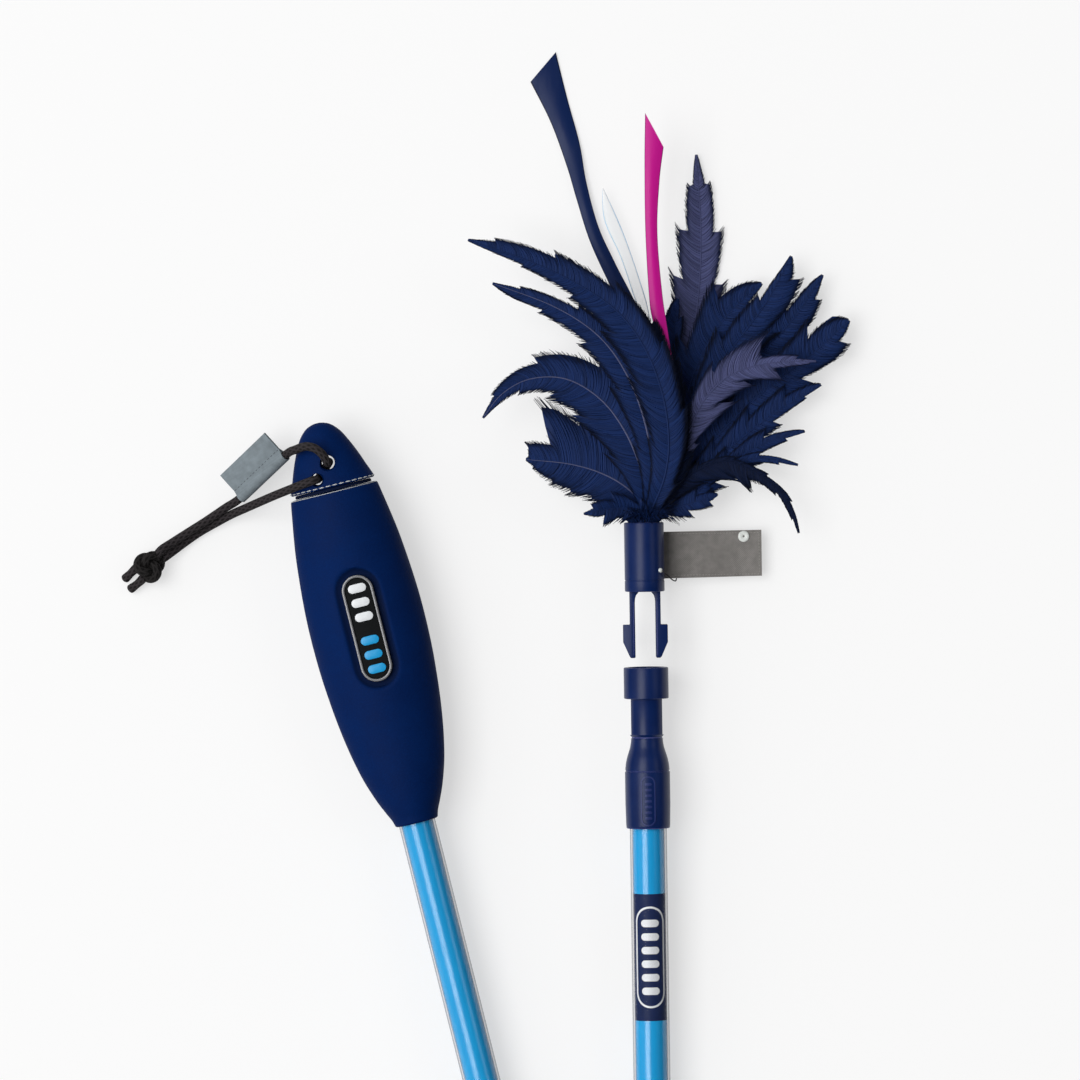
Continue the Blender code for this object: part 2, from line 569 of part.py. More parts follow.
def build_tag(parent):
    """The tag behind the ferrule, its pale eyelet, and the pin and thread at the ferrule's right."""
    def depth(u):
        return -7.1 - 2.0 * min(1.0, max(0.0, (u - 5.0) / 26.0)) ** 2

    def row(u):
        slant = 0.012 * (u - 6.6)
        return 80.7 + slant, 95.9 + slant * 0.4

    rings = []
    for u in (-4.5, 0.0, 5.0, 9.0, 14.0, 19.0, 24.0, 29.0, 34.0, 38.4):
        low, high = row(u)
        w = depth(u)
        rings.append([(u, low, w - 0.25), (u, high, w - 0.25), (u, high, w + 0.25), (u, low, w + 0.25)])
    solid("head_tag", *skin(rings), TAG_GREY, TIP, parent, sharp=60.0)

    u, v = 32.6, 94.0
    top = depth(u) + 0.25 + 0.5
    eyelet = lathe([(0.0, 0.0), (1.8, 0.0), (1.8, 0.35), (1.5, 0.6), (0.0, 0.6)], 20)
    points = [(u + x, v - z, top + y) for x, y, z in eyelet[0]]
    solid("tag_eyelet", points, eyelet[1], PALE, TIP, parent)

    angle = math.radians(40.0)
    reach = FERRULE_R + 0.3
    pin = lathe([(0.0, 0.0), (0.75, 0.0), (0.75, 0.3), (0.45, 0.6), (0.0, 0.7)], 14)
    points = []
    for x, y, z in pin[0]:
        out = reach + y
        points.append((out * math.cos(angle) - x * math.sin(angle), 83.7 + z,
                       out * math.sin(angle) + x * math.cos(angle)))
    solid("tag_pin", points, pin[1], PALE, TIP, parent)

    start = np.array((6.15, 83.0, 4.75))
    line = [start, (7.6, 81.8, 2.0), (8.9, 80.5, -2.0), (10.1, 79.9, -5.6), (10.5, 79.95, -7.1)]
    line = curve_through([tuple(p) for p in line], 14)
    rings = []
    for i, centre in enumerate(line):
        ahead = line[min(i + 1, 13)] - line[max(i - 1, 0)]
        ahead /= np.linalg.norm(ahead)
        side = np.cross(ahead, (1.0, 0.0, 0.0))
        side /= np.linalg.norm(side)
        other = np.cross(ahead, side)
        rings.append([tuple(centre + 0.22 * (math.cos(a) * side + math.sin(a) * other))
                      for a in np.linspace(0.0, 2.0 * math.pi, 6, endpoint=False)])
    solid("tag_thread", *skin(rings), CORD_GREY, TIP, parent, sharp=180.0)


# Feathers and ribbons

def tip_uv(point):
    """A grid point in mm in the tip section's own frame."""
    dx, dy = (point[0] - TIP_ORIGIN[0]) * GRID / MM, (TIP_ORIGIN[1] - point[1]) * GRID / MM
    c, s = math.cos(TIP_LEAN), math.sin(TIP_LEAN)
    return c * dx + s * dy, -s * dx + c * dy


def ease(x):
    x = min(1.0, max(0.0, x))
    return x * x * (3.0 - 2.0 * x)


def reach_of(u, v):
    """How far a point lies beyond the ferrule's mouth."""
    if abs(u) < 5.2 and v < FERRULE_TOP:
        return 0.0
    return math.hypot(max(0.0, v - FERRULE_TOP - 0.2), max(0.0, abs(u) - 3.0))


def layer_height(layer, u, v, lift=None):
    """Height of a layer over the layout plane. Layers fan out from the bore and never meet."""
    r = reach_of(u, v)
    pitch = 0.46 + 0.50 * ease(r / 15.0) + 0.28 * ease((r - 10.0) / 40.0)
    height = layer * pitch - 2.55 * ease((r - 6.0) / 45.0)
    return height + (lift(r) if lift else 0.0)


def layer_of(name):
    return LAYERS.index(name) - 0.5 * (len(LAYERS) - 1)


def plate(name, rows, thickness, look, parent, lift=None):
    """A thin closed sheet through rows of (u, v) points, lying in the named layer."""
    layer = layer_of(name)
    rings = []
    for row in rows:
        upper, lower = [], []
        last = len(row) - 1
        for i, (u, v) in enumerate(row):
            w = layer_height(layer, u, v, lift)
            half = 0.5 * thickness(reach_of(u, v)) * (0.7 if i in (0, last) else 1.0)
            upper.append((u, v, w + half))
            lower.append((u, v, w - half))
        rings.append(upper + lower[::-1])
    solid(name, *skin(rings), look, TIP, parent, sharp=60.0)


def feather(name, quill_u, line, left, right, clumps, notch, sweep, look, parent):
    """A vane on a curved shaft: barbs lean to the tip and gather in pointed clumps on both sides."""
    shaft = [(quill_u, 86.0), (quill_u, 93.0), (quill_u, 99.0)] + [tip_uv(p) for p in line]
    fine = curve_through(shaft, 241)
    start = int(np.argmax(fine[:, 1] > FERRULE_TOP + 1.2))
    marks = [0, start // 2, start - 2]
    stations = [(fine[m], fine[m + 1] - fine[m], 0.0, None) for m in marks]
    count = 2 * clumps
    for k in range(count):
        for t in ((k + 0.04) / count, (k + 0.96) / count):
            at = start + t * (239 - start)
            i = int(at)
            point = fine[i] + (fine[i + 1] - fine[i]) * (at - i)
            stations.append((point, fine[min(i + 2, 240)] - fine[max(i - 2, 0)], t, k))
    rows = []
    for point, ahead, t, k in stations:
        ahead = ahead / np.linalg.norm(ahead)
        across = np.array((ahead[1], -ahead[0]))
        if k is None:
            rows.append([tuple(point + across * s) for s in (-0.45, -0.22, 0.0, 0.22, 0.45)])
            continue
        widths = []
        for sign, table in ((0, left), (1, right)):
            half = np.interp(t, [a for a, _ in table], [b for _, b in table]) * GRID / MM
            phase = (0.5 * (k + sign) + 0.5 * (t * count - k)) % 1.0
            if abs(phase) < 0.03 and t * count - k > 0.5:
                phase = 1.0
            widths.append(max(0.35, half * (1.0 - notch * (1.0 - phase))))
        row = []
        for s in (-1.0, -0.5, 0.0, 0.5, 1.0):
            width = widths[0] if s < 0 else widths[1]
            barb = across * s * width + ahead * abs(s) * width * sweep
            row.append(tuple(point + barb))
        rows.append(row)
    plate(name, rows, lambda r: 0.20 + 0.20 * ease(r / 18.0), look, parent)


def ribbon(name, foot, left, right, look, parent, lift=None):
    """A film strip between two edges, gathered to a narrow tail in the ferrule."""
    left = curve_through([tip_uv(p) for p in left] + [(foot - 1.1, 99.0), (foot - 1.1, 92.0)], 401)
    right = curve_through([tip_uv(p) for p in right] + [(foot + 1.1, 99.0), (foot + 1.1, 92.0)], 401)
    rows = []
    for t in np.linspace(0.0, 1.0, 30):
        i = int(round(400 * (1.0 - (1.0 - t) ** 1.5)))
        rows.append([tuple(left[i] + (right[i] - left[i]) * s) for s in (0.0, 0.5, 1.0)])
    plate(name, rows, lambda r: 0.22, look, parent, lift)


def build_feathers(parent):
    def navy(name, quill_u, line, left, right, clumps=5, notch=0.32, sweep=0.8, look=NAVY_FEATHER):
        feather(name, quill_u, line, left, right, clumps, notch, sweep, look, parent)

    navy("feather_left_a", 1.3,
         [(652, 508), (664, 476), (668, 440), (662, 395), (645, 350), (618, 313), (580, 286), (530, 262), (466, 240)],
         [(0, 6), (0.15, 19), (0.35, 26), (0.5, 24), (0.62, 18), (0.75, 11), (0.9, 6), (1, 1)],
         [(0, 6), (0.15, 16), (0.3, 18), (0.5, 18), (0.65, 13), (0.8, 11), (0.92, 5), (1, 1)], 6, 0.22)
    navy("feather_left_b", 0.0,
         [(649, 508), (652, 470), (645, 425), (628, 378), (600, 338), (556, 308), (491, 283)],
         [(0, 6), (0.2, 15), (0.4, 19), (0.6, 20), (0.75, 11), (0.9, 6), (1, 1)],
         [(0, 6), (0.3, 14), (0.6, 15), (0.8, 9), (0.92, 5), (1, 1)], 5, 0.3)
    navy("feather_left_c", -1.4,
         [(646, 508), (642, 474), (625, 432), (600, 399), (566, 379), (530, 379), (502, 394), (482, 419)],
         [(0, 6), (0.2, 24), (0.4, 30), (0.55, 18), (0.7, 9), (0.9, 5), (1, 1)],
         [(0, 5), (0.2, 20), (0.4, 25), (0.6, 22), (0.8, 15), (0.93, 7), (1, 1)], 5, 0.3)
    navy("feather_left_d", -1.4,
         [(644, 510), (632, 490), (605, 470), (570, 455), (528, 442)],
         [(0, 8), (0.2, 20), (0.45, 27), (0.7, 23), (0.88, 14), (1, 2)],
         [(0, 8), (0.2, 24), (0.5, 33), (0.75, 30), (0.9, 17), (1, 2)], 4, 0.45, 0.75)
    navy("feather_left_back", 1.3,
         [(655, 508), (669, 476), (673, 440), (668, 396), (652, 348), (626, 309), (606, 286)],
         [(0, 8), (0.3, 18), (0.7, 17), (0.9, 10), (1, 2)],
         [(0, 9), (0.2, 17), (0.5, 18), (0.8, 14), (0.93, 8), (1, 2)], 6, 0.25, 0.7, DARK_FEATHER)
    navy("down_left", -1.0,
         [(642, 512), (628, 507), (606, 508), (583, 513)],
         [(0, 6), (0.3, 14), (0.6, 17), (0.85, 10), (1, 1)],
         [(0, 6), (0.3, 15), (0.6, 14), (0.85, 8), (1, 1)], 3, 0.6, 0.35)
    navy("feather_right_a", -0.8,
         [(652, 508), (670, 464), (684, 410), (700, 360), (728, 315), (764, 282)],
         [(0, 6), (0.2, 14), (0.5, 18), (0.8, 18), (0.92, 9), (1, 1)],
         [(0, 6), (0.3, 16), (0.6, 20), (0.85, 13), (1, 1)], 5, 0.4)
    navy("feather_right_b", 0.6,
         [(654, 508), (676, 460), (698, 405), (728, 350), (762, 302), (791, 256)],
         [(0, 6), (0.3, 18), (0.6, 22), (0.8, 13), (0.92, 6), (1, 1)],
         [(0, 6), (0.3, 18), (0.6, 22), (0.8, 13), (0.92, 6), (1, 1)], 5, 0.3)
    navy("feather_right_c", -0.2,
         [(656, 508), (684, 462), (715, 410), (752, 362), (792, 320), (823.6, 276)],
         [(0, 6), (0.3, 20), (0.6, 24), (0.8, 14), (0.92, 6), (1, 1)],
         [(0, 6), (0.3, 20), (0.6, 24), (0.8, 14), (0.92, 6), (1, 1)], 5, 0.32)
    navy("feather_right_d", 1.2,
         [(658, 508), (690, 470), (728, 425), (772, 385), (815, 352), (851, 319)],
         [(0, 6), (0.3, 20), (0.6, 24), (0.82, 19), (0.93, 9), (1, 1)],
         [(0, 6), (0.3, 20), (0.6, 22), (0.82, 16), (0.93, 8), (1, 1)], 5, 0.4)
    navy("feather_right_e", 0.2,
         [(659, 510), (692, 480), (730, 448), (775, 415), (823.6, 388)],
         [(0, 6), (0.3, 18), (0.6, 24), (0.8, 19), (0.93, 10), (1, 1)],
         [(0, 6), (0.3, 18), (0.6, 21), (0.8, 15), (0.93, 8), (1, 1)], 5, 0.42)
    navy("feather_right_f", 1.6,
         [(660, 512), (692, 490), (728, 465), (765, 443), (804, 432)],
         [(0, 6), (0.3, 16), (0.6, 19), (0.8, 12), (0.93, 6), (1, 1)],
         [(0, 6), (0.3, 18), (0.6, 20), (0.8, 12), (0.93, 6), (1, 1)], 4, 0.45)
    navy("feather_right_g", 0.4,
         [(660, 513), (690, 497), (722, 470), (758, 458), (797, 464)],
         [(0, 4), (0.3, 9), (0.6, 9), (0.85, 6), (1, 1)],
         [(0, 4), (0.3, 10), (0.6, 9), (0.85, 5), (1, 1)], 4, 0.4)
    navy("down_right", 1.6,
         [(660, 512), (677, 507), (697, 501), (718, 494)],
         [(0, 5), (0.3, 13), (0.6, 13), (0.85, 7), (1, 1)],
         [(0, 5), (0.3, 12), (0.6, 13), (0.85, 8), (1, 1)], 3, 0.55, 0.45)
    navy("feather_strand", 0.6,
         [(658, 508), (688, 474), (724, 456), (754, 467), (778, 488), (790, 508), (798, 532)],
         [(0, 3), (0.3, 6), (0.5, 6), (0.75, 5), (0.9, 3), (1, 1)],
         [(0, 3), (0.3, 8), (0.5, 8), (0.62, 6), (0.75, 4), (0.9, 3), (1, 1)], 5, 0.35, 0.9, DARK_FEATHER)
    navy("feather_centre", 1.0,
         [(655, 508), (664, 460), (668, 400), (672, 350), (679, 297)],
         [(0, 5), (0.3, 12), (0.6, 16), (0.85, 16), (0.95, 8), (1, 1)],
         [(0, 5), (0.3, 12), (0.6, 14), (0.85, 9), (1, 1)], 5, 0.45, 0.9)
    navy("feather_grey_back", 0.0,
         [(654, 508), (668, 460), (684, 400), (693, 340), (700, 290), (702, 230), (697, 151)],
         [(0, 5), (0.3, 16), (0.5, 23), (0.68, 22), (0.8, 15), (0.92, 7), (1, 1)],
         [(0, 5), (0.3, 14), (0.5, 20), (0.68, 17), (0.8, 12), (0.92, 6), (1, 1)], 5, 0.38, 0.8, GREY_FEATHER)
    navy("feather_grey_front", 1.4,
         [(662, 504), (676, 470), (688, 434), (704, 400), (732, 374), (772, 363), (817, 361)],
         [(0, 3), (0.2, 4), (0.35, 11), (0.5, 17), (0.66, 17), (0.8, 9), (0.92, 4), (1, 1)],
         [(0, 3), (0.2, 4), (0.35, 14), (0.5, 20), (0.66, 18), (0.8, 10), (0.92, 4), (1, 1)],
         5, 0.45, 0.9, GREY_FEATHER)

    ribbon("ribbon_navy", -0.8,
           [(530.5, 80), (551, 121), (567, 165), (577, 199), (590, 240), (609, 282), (632, 330), (645, 380),
            (645, 440), (641, 498)],
           [(556, 50), (568, 98), (580, 142), (587, 182), (599, 226), (616, 263), (640, 312), (655, 370),
            (654, 440), (649, 498)],
           NAVY_PLASTIC, parent, lambda r: -3.45 * ease((r - 88.0) / 60.0))
    ribbon("ribbon_clear", 0.9,
           [(602.4, 188), (605, 220), (621, 256), (633, 292), (645, 330), (650, 400), (649, 450), (645, 498)],
           [(603.6, 187), (622.5, 229), (639, 275.5), (650, 315), (658, 380), (658, 440), (651, 498)],
           CLEAR_FILM, parent)
    ribbon("ribbon_magenta", 0.6,
           [(644.5, 114), (644, 165), (645, 233), (649, 300), (653, 324), (664, 380), (663, 430), (653, 475),
            (645, 500)],
           [(663, 148), (659, 182), (657, 233), (662, 294), (668, 334), (675, 385), (671, 435), (661, 478),
            (651, 500)],
           MAGENTA, parent, lambda r: 3.0 * ease((r - 70.0) / 70.0))


def main():
    clear_scene()
    build_handle()
    build_cord()
    build_sleeve()
    pole, turn = swing_pole()
    swing = empty("tip_section_swing", pole)
    build_tip(swing)
    pull = empty("head_pull", TIP @ Matrix.Translation((0.0, FERRULE_BOTTOM * MM, 0.0)), swing)
    build_ferrule(pull)
    build_arms(pull)
    build_tag(pull)
    build_feathers(pull)


main()
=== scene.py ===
import math

import bmesh
import bpy
import numpy as np
from mathutils import Matrix, Vector


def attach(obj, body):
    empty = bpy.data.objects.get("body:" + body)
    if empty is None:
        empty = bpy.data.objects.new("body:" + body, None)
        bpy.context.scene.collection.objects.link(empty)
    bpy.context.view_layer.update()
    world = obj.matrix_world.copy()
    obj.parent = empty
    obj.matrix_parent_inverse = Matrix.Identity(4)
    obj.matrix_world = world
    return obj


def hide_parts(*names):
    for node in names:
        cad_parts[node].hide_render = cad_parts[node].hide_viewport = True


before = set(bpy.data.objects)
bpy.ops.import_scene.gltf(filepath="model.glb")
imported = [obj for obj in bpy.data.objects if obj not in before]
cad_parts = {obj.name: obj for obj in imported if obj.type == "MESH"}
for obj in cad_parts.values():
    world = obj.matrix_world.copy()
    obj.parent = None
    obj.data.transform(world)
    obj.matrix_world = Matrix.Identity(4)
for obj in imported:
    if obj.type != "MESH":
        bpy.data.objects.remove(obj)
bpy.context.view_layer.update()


# Floor, lamps and camera.
# The wand lies on a plain, nearly white floor under soft lamps; a long lens looks straight down on it.
# The plan grid has x to the right and y down, and one unit of it is 0.3243 mm on the floor.
MM = 0.001
GRID = 0.3243 * MM
ORIGIN = (570.69, 799.21)
FLOOR_REACH, FLOOR_Z, FLOOR_GLOW, MIRRORED_ROOM = 3.0, -0.0002, 0.572, 0.35
VIEW_WIDTH, VIEW_HEIGHT = 1080, 13.0


def plan(x, y, height=0.0):
    """A grid point as a point in the room, with its height in mm."""
    return Vector(((x - ORIGIN[0]) * GRID, (ORIGIN[1] - y) * GRID, height * MM))


def srgb(r, g, b):
    """A colour read off a screen, 0 to 255, as the shader takes it."""
    return tuple(((c / 255 + 0.055) / 1.055) ** 2.4 if c > 10 else c / 255 / 12.92 for c in (r, g, b))


def new_object(name, data):
    obj = bpy.data.objects.new(name, data)
    bpy.context.scene.collection.objects.link(obj)
    return obj


class Nodes:
    """A node tree built by short calls; an input is given a value, or the socket that feeds it."""

    def __init__(self, tree):
        self.tree = tree

    def put(self, socket, value):
        if isinstance(value, bpy.types.NodeSocket):
            self.tree.links.new(value, socket)
        else:
            socket.default_value = (*value, 1.0) if socket.type == "RGBA" else value

    def add(self, kind, output=0, settings=None, **inputs):
        """Adds a node and returns one output; inputs go by name, or by place as i0, i1 and so on."""
        made = self.tree.nodes.new(kind)
        for key, value in (settings or {}).items():
            setattr(made, key, value)
        for key, value in inputs.items():
            by_place = key[0] == "i" and key[1:].isdigit()
            self.put(made.inputs[int(key[1:]) if by_place else key.replace("_", " ")], value)
        return made.outputs[output]

    def maths(self, operation, a, b=0.0, c=0.0):
        return self.add("ShaderNodeMath", 0, {"operation": operation}, i0=a, i1=b, i2=c)

    def blend(self, factor, a, b, mode="MIX"):
        return self.add("ShaderNodeMix", 2, {"data_type": "RGBA", "blend_type": mode}, i0=factor, i6=a, i7=b)

    def ramp(self, factor, low, high, out_low=0.0, out_high=1.0, kind="SMOOTHSTEP"):
        return self.add("ShaderNodeMapRange", 0, {"interpolation_type": kind}, Value=factor, From_Min=low,
                        From_Max=high, To_Min=out_low, To_Max=out_high)

    def noise(self, scale, detail, roughness=0.5, **vector):
        return self.add("ShaderNodeTexNoise", "Fac", Scale=scale, Detail=detail, Roughness=roughness, **vector)

    def attribute(self, name):
        return self.add("ShaderNodeAttribute", "Fac", {"attribute_name": name})

    def place(self, **mapping):
        """Where a point lies in the room, turned or scaled if asked."""
        spot = self.add("ShaderNodeTexCoord", "Object")
        return self.add("ShaderNodeMapping", Vector=spot, **mapping) if mapping else spot


class Look(Nodes):
    """A material on one Principled shader, with its values set straight on the sockets."""

    def __init__(self, name, colour, roughness=0.5, **sockets):
        self.mat = bpy.data.materials.new(name)
        self.mat.use_nodes = True
        self.mat.diffuse_color = (*colour, 1.0)
        super().__init__(self.mat.node_tree)
        self.feed(Base_Color=colour, Roughness=roughness, **sockets)

    def feed(self, **sockets):
        """Sets or links inputs of the shader and returns the material."""
        for name, value in sockets.items():
            self.put(self.tree.nodes["Principled BSDF"].inputs[name.replace("_", " ")], value)
        return self.mat

    def bump(self, height, strength, distance):
        self.feed(Normal=self.add("ShaderNodeBump", "Normal", Height=height, Strength=strength,
                                  Distance=distance * MM))

    def shaded(self, colour, level):
        """A colour made darker or lighter by a level."""
        grey = self.add("ShaderNodeCombineColor", Red=level, Green=level, Blue=level)
        return self.blend(1.0, colour, grey, "MULTIPLY")


floor_mesh = bpy.data.meshes.new("floor")
floor_corners = [(x * FLOOR_REACH, y * FLOOR_REACH, FLOOR_Z) for x, y in ((-1, -1), (1, -1), (1, 1), (-1, 1))]
floor_mesh.from_pydata(floor_corners, [], [(0, 1, 2, 3)])
white = Look("floor_white", (0.42, 0.42, 0.42), 0.9, Specular_IOR_Level=0.0, Emission_Color=(1.0, 1.0, 1.0))
rays = white.add("ShaderNodeLightPath").node.outputs
seen = white.maths("MAXIMUM", rays["Is Camera Ray"],
                   white.maths("MAXIMUM", rays["Is Glossy Ray"], rays["Is Transmission Ray"]))
floor_mesh.materials.append(white.feed(Emission_Strength=white.maths("MULTIPLY", seen, FLOOR_GLOW)))
new_object("floor", floor_mesh)

room = bpy.data.worlds.new("room")
bpy.context.scene.world = room
room.use_nodes = True
sky, sky_inputs = Nodes(room.node_tree), room.node_tree.nodes["Background"].inputs
side = sky.add("ShaderNodeSeparateXYZ", "X", Vector=sky.place())
mirrored = sky.add("ShaderNodeLightPath", "Is Glossy Ray")
sky.put(sky_inputs["Color"], (1.0, 1.0, 1.0))
sky.put(sky_inputs["Strength"], sky.maths("MULTIPLY", sky.ramp(side, -1.0, 0.35, 0.95, 0.12),
                                          sky.ramp(mirrored, 0.0, 1.0, 1.0, MIRRORED_ROOM, "LINEAR")))


def lamp(name, towards, distance, width, length, power):
    """A soft box over the object, turned to face it."""
    data = bpy.data.lights.new(name, "AREA")
    data.shape = "RECTANGLE"
    data.size, data.size_y, data.energy = length, width, power
    obj = new_object(name, data)
    direction = Vector(towards).normalized()
    obj.location = plan(600, 600) + direction * distance
    obj.rotation_euler = (-direction).to_track_quat("-Z", "Y").to_euler()


lamp("key_lamp", (-0.50, 0.05, 1.0), 4.0, 2.4, 3.2, 104.0)
lamp("fill_lamp", (0.85, 0.25, 0.8), 4.0, 1.5, 2.0, 9.0)

lens = bpy.data.cameras.new("camera")
lens.lens, lens.sensor_width, lens.clip_start, lens.clip_end = 220.0, 36.0, 0.05, 20.0
camera = new_object("camera", lens)
camera.location = plan(VIEW_WIDTH / 2, VIEW_WIDTH / 2, VIEW_HEIGHT)
camera.location.z += VIEW_WIDTH * GRID * lens.lens / lens.sensor_width
bpy.context.scene.camera = camera
bpy.context.scene.view_settings.view_transform = "Standard"


# Wrist cord.
# A braided cord 2.8 mm thick: one strand leaves the handle's end through each of two holes, both come
# together, and a tight knot ties them. The holes' place follows from how the two sections lie.
HANDLE_LEAN, TIP_LEAN = math.atan(0.25), math.atan(0.0151)
HANDLE_SPOT, TIP_SPOT, APEX = (416.8, 822.0), (648.3, 828.0), (663.0, 1808.0)
END_TO_APEX, END_HEIGHT, RISE, FLOOR_LIFT = 88.0 * MM, 7.0, 0.02170, 0.02 * MM
EYELET, CORD_HOLE, CORD_R = (0.5, 120.2, 2.3), (-4.3, 115.7, 1.9), 1.4


def tube_end(lean):
    return plan(*APEX) + Vector((-math.sin(lean), math.cos(lean), 0.0)) * END_TO_APEX


def section_frame(grid_point, lean):
    """Room matrix with +Y up a section's centre line and +Z out of the plane that both sections lie in."""
    half, middle = 0.5 * (HANDLE_LEAN - TIP_LEAN), 0.5 * (HANDLE_LEAN + TIP_LEAN)
    pivot = 0.5 * (tube_end(HANDLE_LEAN) + tube_end(TIP_LEAN))
    across = Vector((math.cos(middle), math.sin(middle), 0.0))
    lift = Matrix.Translation(pivot + Vector((0.0, 0.0, END_HEIGHT * MM + FLOOR_LIFT)))
    tilted = lift @ Matrix.Rotation(math.asin(RISE / math.cos(half)), 4, across)
    return tilted @ Matrix.Translation(plan(*grid_point) - pivot) @ Matrix.Rotation(lean, 4, "Z")


HANDLE, TIP = section_frame(HANDLE_SPOT, HANDLE_LEAN), section_frame(TIP_SPOT, TIP_LEAN)


def placed(matrix, points):
    """Points in mm in a section's frame as points in the room."""
    return [matrix @ Vector((p[0] * MM, p[1] * MM, p[2] * MM)) for p in points]


def distances(line):
    """How far along a line each of its points lies."""
    return np.concatenate([[0.0], np.cumsum(np.linalg.norm(np.diff(line, axis=0), axis=1))])


def angles(count):
    return np.linspace(0.0, 2.0 * math.pi, count, endpoint=False)


def curve_through(points, count):
    """A smooth line through points, as count points spaced evenly along it."""
    pts = np.asarray([tuple(p) for p in points], float)
    ends = np.vstack([2 * pts[0] - pts[1], pts, 2 * pts[-1] - pts[-2]])
    fine = []
    for i in range(1, len(ends) - 2):
        a, b, c, d = ends[i - 1:i + 3]
        for t in np.linspace(0.0, 1.0, 24, endpoint=False):
            fine.append(0.5 * (2 * b + (c - a) * t + (2 * a - 5 * b + 4 * c - d) * t ** 2
                               + (3 * b - a - 3 * c + d) * t ** 3))
    fine = np.array(fine + [pts[-1]])
    along = distances(fine)
    wanted = np.linspace(0.0, along[-1], count)
    return np.column_stack([np.interp(wanted, along, fine[:, i]) for i in range(pts.shape[1])])


def shade_smooth(mesh, sharp):
    """Smooth shading, with edges left sharp from this angle on."""
    mesh.polygons.foreach_set("use_smooth", [True] * len(mesh.polygons))
    mesh.set_sharp_from_angle(angle=math.radians(sharp))


def shape(name, solid, *materials, face_slots=None, sharp=35.0):
    """A piece from points in metres in the room and faces, which are turned to point outwards."""
    mesh = bpy.data.meshes.new(name)
    mesh.from_pydata(solid[0], [], solid[1])
    for mat in materials:
        mesh.materials.append(mat)
    if face_slots:
        mesh.polygons.foreach_set("material_index", face_slots)
    work = bmesh.new()
    work.from_mesh(mesh)
    bmesh.ops.recalc_face_normals(work, faces=work.faces)
    work.to_mesh(mesh)
    work.free()
    shade_smooth(mesh, sharp)
    return new_object(name, mesh)


def fitted(piece, body, node=None):
    """Says which body a piece rides on, and the CAD node that it stands for."""
    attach(piece, body)
    if node:
        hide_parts(node)
    return piece


def skin(rings, loop=False):
    """Points and faces through rings of equal length: a loop of rings, or a body closed by caps."""
    count = len(rings[0])
    points = [tuple(p) for ring in rings for p in ring]
    faces = []
    for i in range(len(rings) if loop else len(rings) - 1):
        a, b = i * count, ((i + 1) % len(rings)) * count
        faces += [(a + j, a + (j + 1) % count, b + (j + 1) % count, b + j) for j in range(count)]
    if not loop:
        faces.append(tuple(reversed(range(count))))
        faces.append(tuple(range((len(rings) - 1) * count, len(rings) * count)))
    return points, faces


def tube_mesh(name, line, radius, sides, mat, closed=False, blunt=0.0):
    """A round tube along a line, with a UV map: once round it across, metres along it up."""
    line = np.asarray(line, float)
    count, along = len(line), distances(line)
    radii = np.array([radius(i / (count - 1)) if callable(radius) else radius for i in range(count)], float)
    if blunt:
        near = np.minimum(along, along[-1] - along) / blunt
        radii *= np.sqrt(np.clip(1.0 - (1.0 - np.clip(near, 0.02, 1.0)) ** 2, 0.0, 1.0))
    side, rings = None, []
    for i in range(count):
        before, after = (i - 1, (i + 1) % count) if closed else (max(i - 1, 0), min(i + 1, count - 1))
        ahead = line[after] - line[before]
        ahead /= np.linalg.norm(ahead)
        if side is None:
            side = np.cross(ahead, (0.0, 0.0, 1.0) if abs(ahead[2]) < 0.9 else (1.0, 0.0, 0.0))
        side = side - ahead * side.dot(ahead)
        side /= np.linalg.norm(side)
        other = np.cross(ahead, side)
        rings.append([line[i] + radii[i] * (math.cos(a) * side + math.sin(a) * other) for a in angles(sides)])
    obj = shape(name, skin(rings, closed), mat, sharp=70.0)
    uv = obj.data.uv_layers.new(name="cord")
    for poly in obj.data.polygons:
        corners = [(v % sides, v // sides) for v in poly.vertices]
        wrap = max(c[0] for c in corners) - min(c[0] for c in corners) > sides // 2
        for loop_index, (across, ring) in zip(poly.loop_indices, corners):
            across = across + sides if wrap and across < sides // 2 else across
            uv.data[loop_index].uv = (across / sides, along[ring])
    return obj


def braid_look(name, colour, across=6.0, pitch=3.1, depth=0.16):
    """Braided yarn: two sets of strands cross on a slant, each a little rounded and streaked; the hollows between
    strands are painted darker as shade and their crowns lighter as highlight.
    """
    look = Look(name, colour, 0.85, Specular_IOR_Level=0.2)
    uv = look.add("ShaderNodeUVMap", 0, {"uv_map": "cord"})
    parts = look.add("ShaderNodeSeparateXYZ", Vector=uv).node.outputs
    turn = look.maths("MULTIPLY", parts[0], across * 2.0 * math.pi)
    rise = look.maths("MULTIPLY", parts[1], 2.0 * math.pi / (pitch * MM))
    height = look.maths("MAXIMUM", look.maths("SINE", look.maths("ADD", turn, rise)),
                        look.maths("SINE", look.maths("SUBTRACT", turn, rise)))
    fibre = look.noise(900.0, 4.0, 0.6, Vector=uv)
    # Painted shade and highlight: the colour drops to about a third in the low places between strands and rises on
    # their crowns, and wavers with the fibre streaks.
    level = look.maths("MULTIPLY", look.ramp(height, -0.6, 0.9, 0.35, 1.15),
                       look.ramp(fibre, 0.3, 0.7, 0.75, 1.25, "LINEAR"))
    look.bump(look.maths("ADD", height, look.maths("MULTIPLY", fibre, 0.5)), 0.9, depth)
    return look.feed(Base_Color=look.shaded(colour, level))


def hole_point(hole, height):
    return placed(HANDLE, [(hole[0], hole[1], height)])[0]


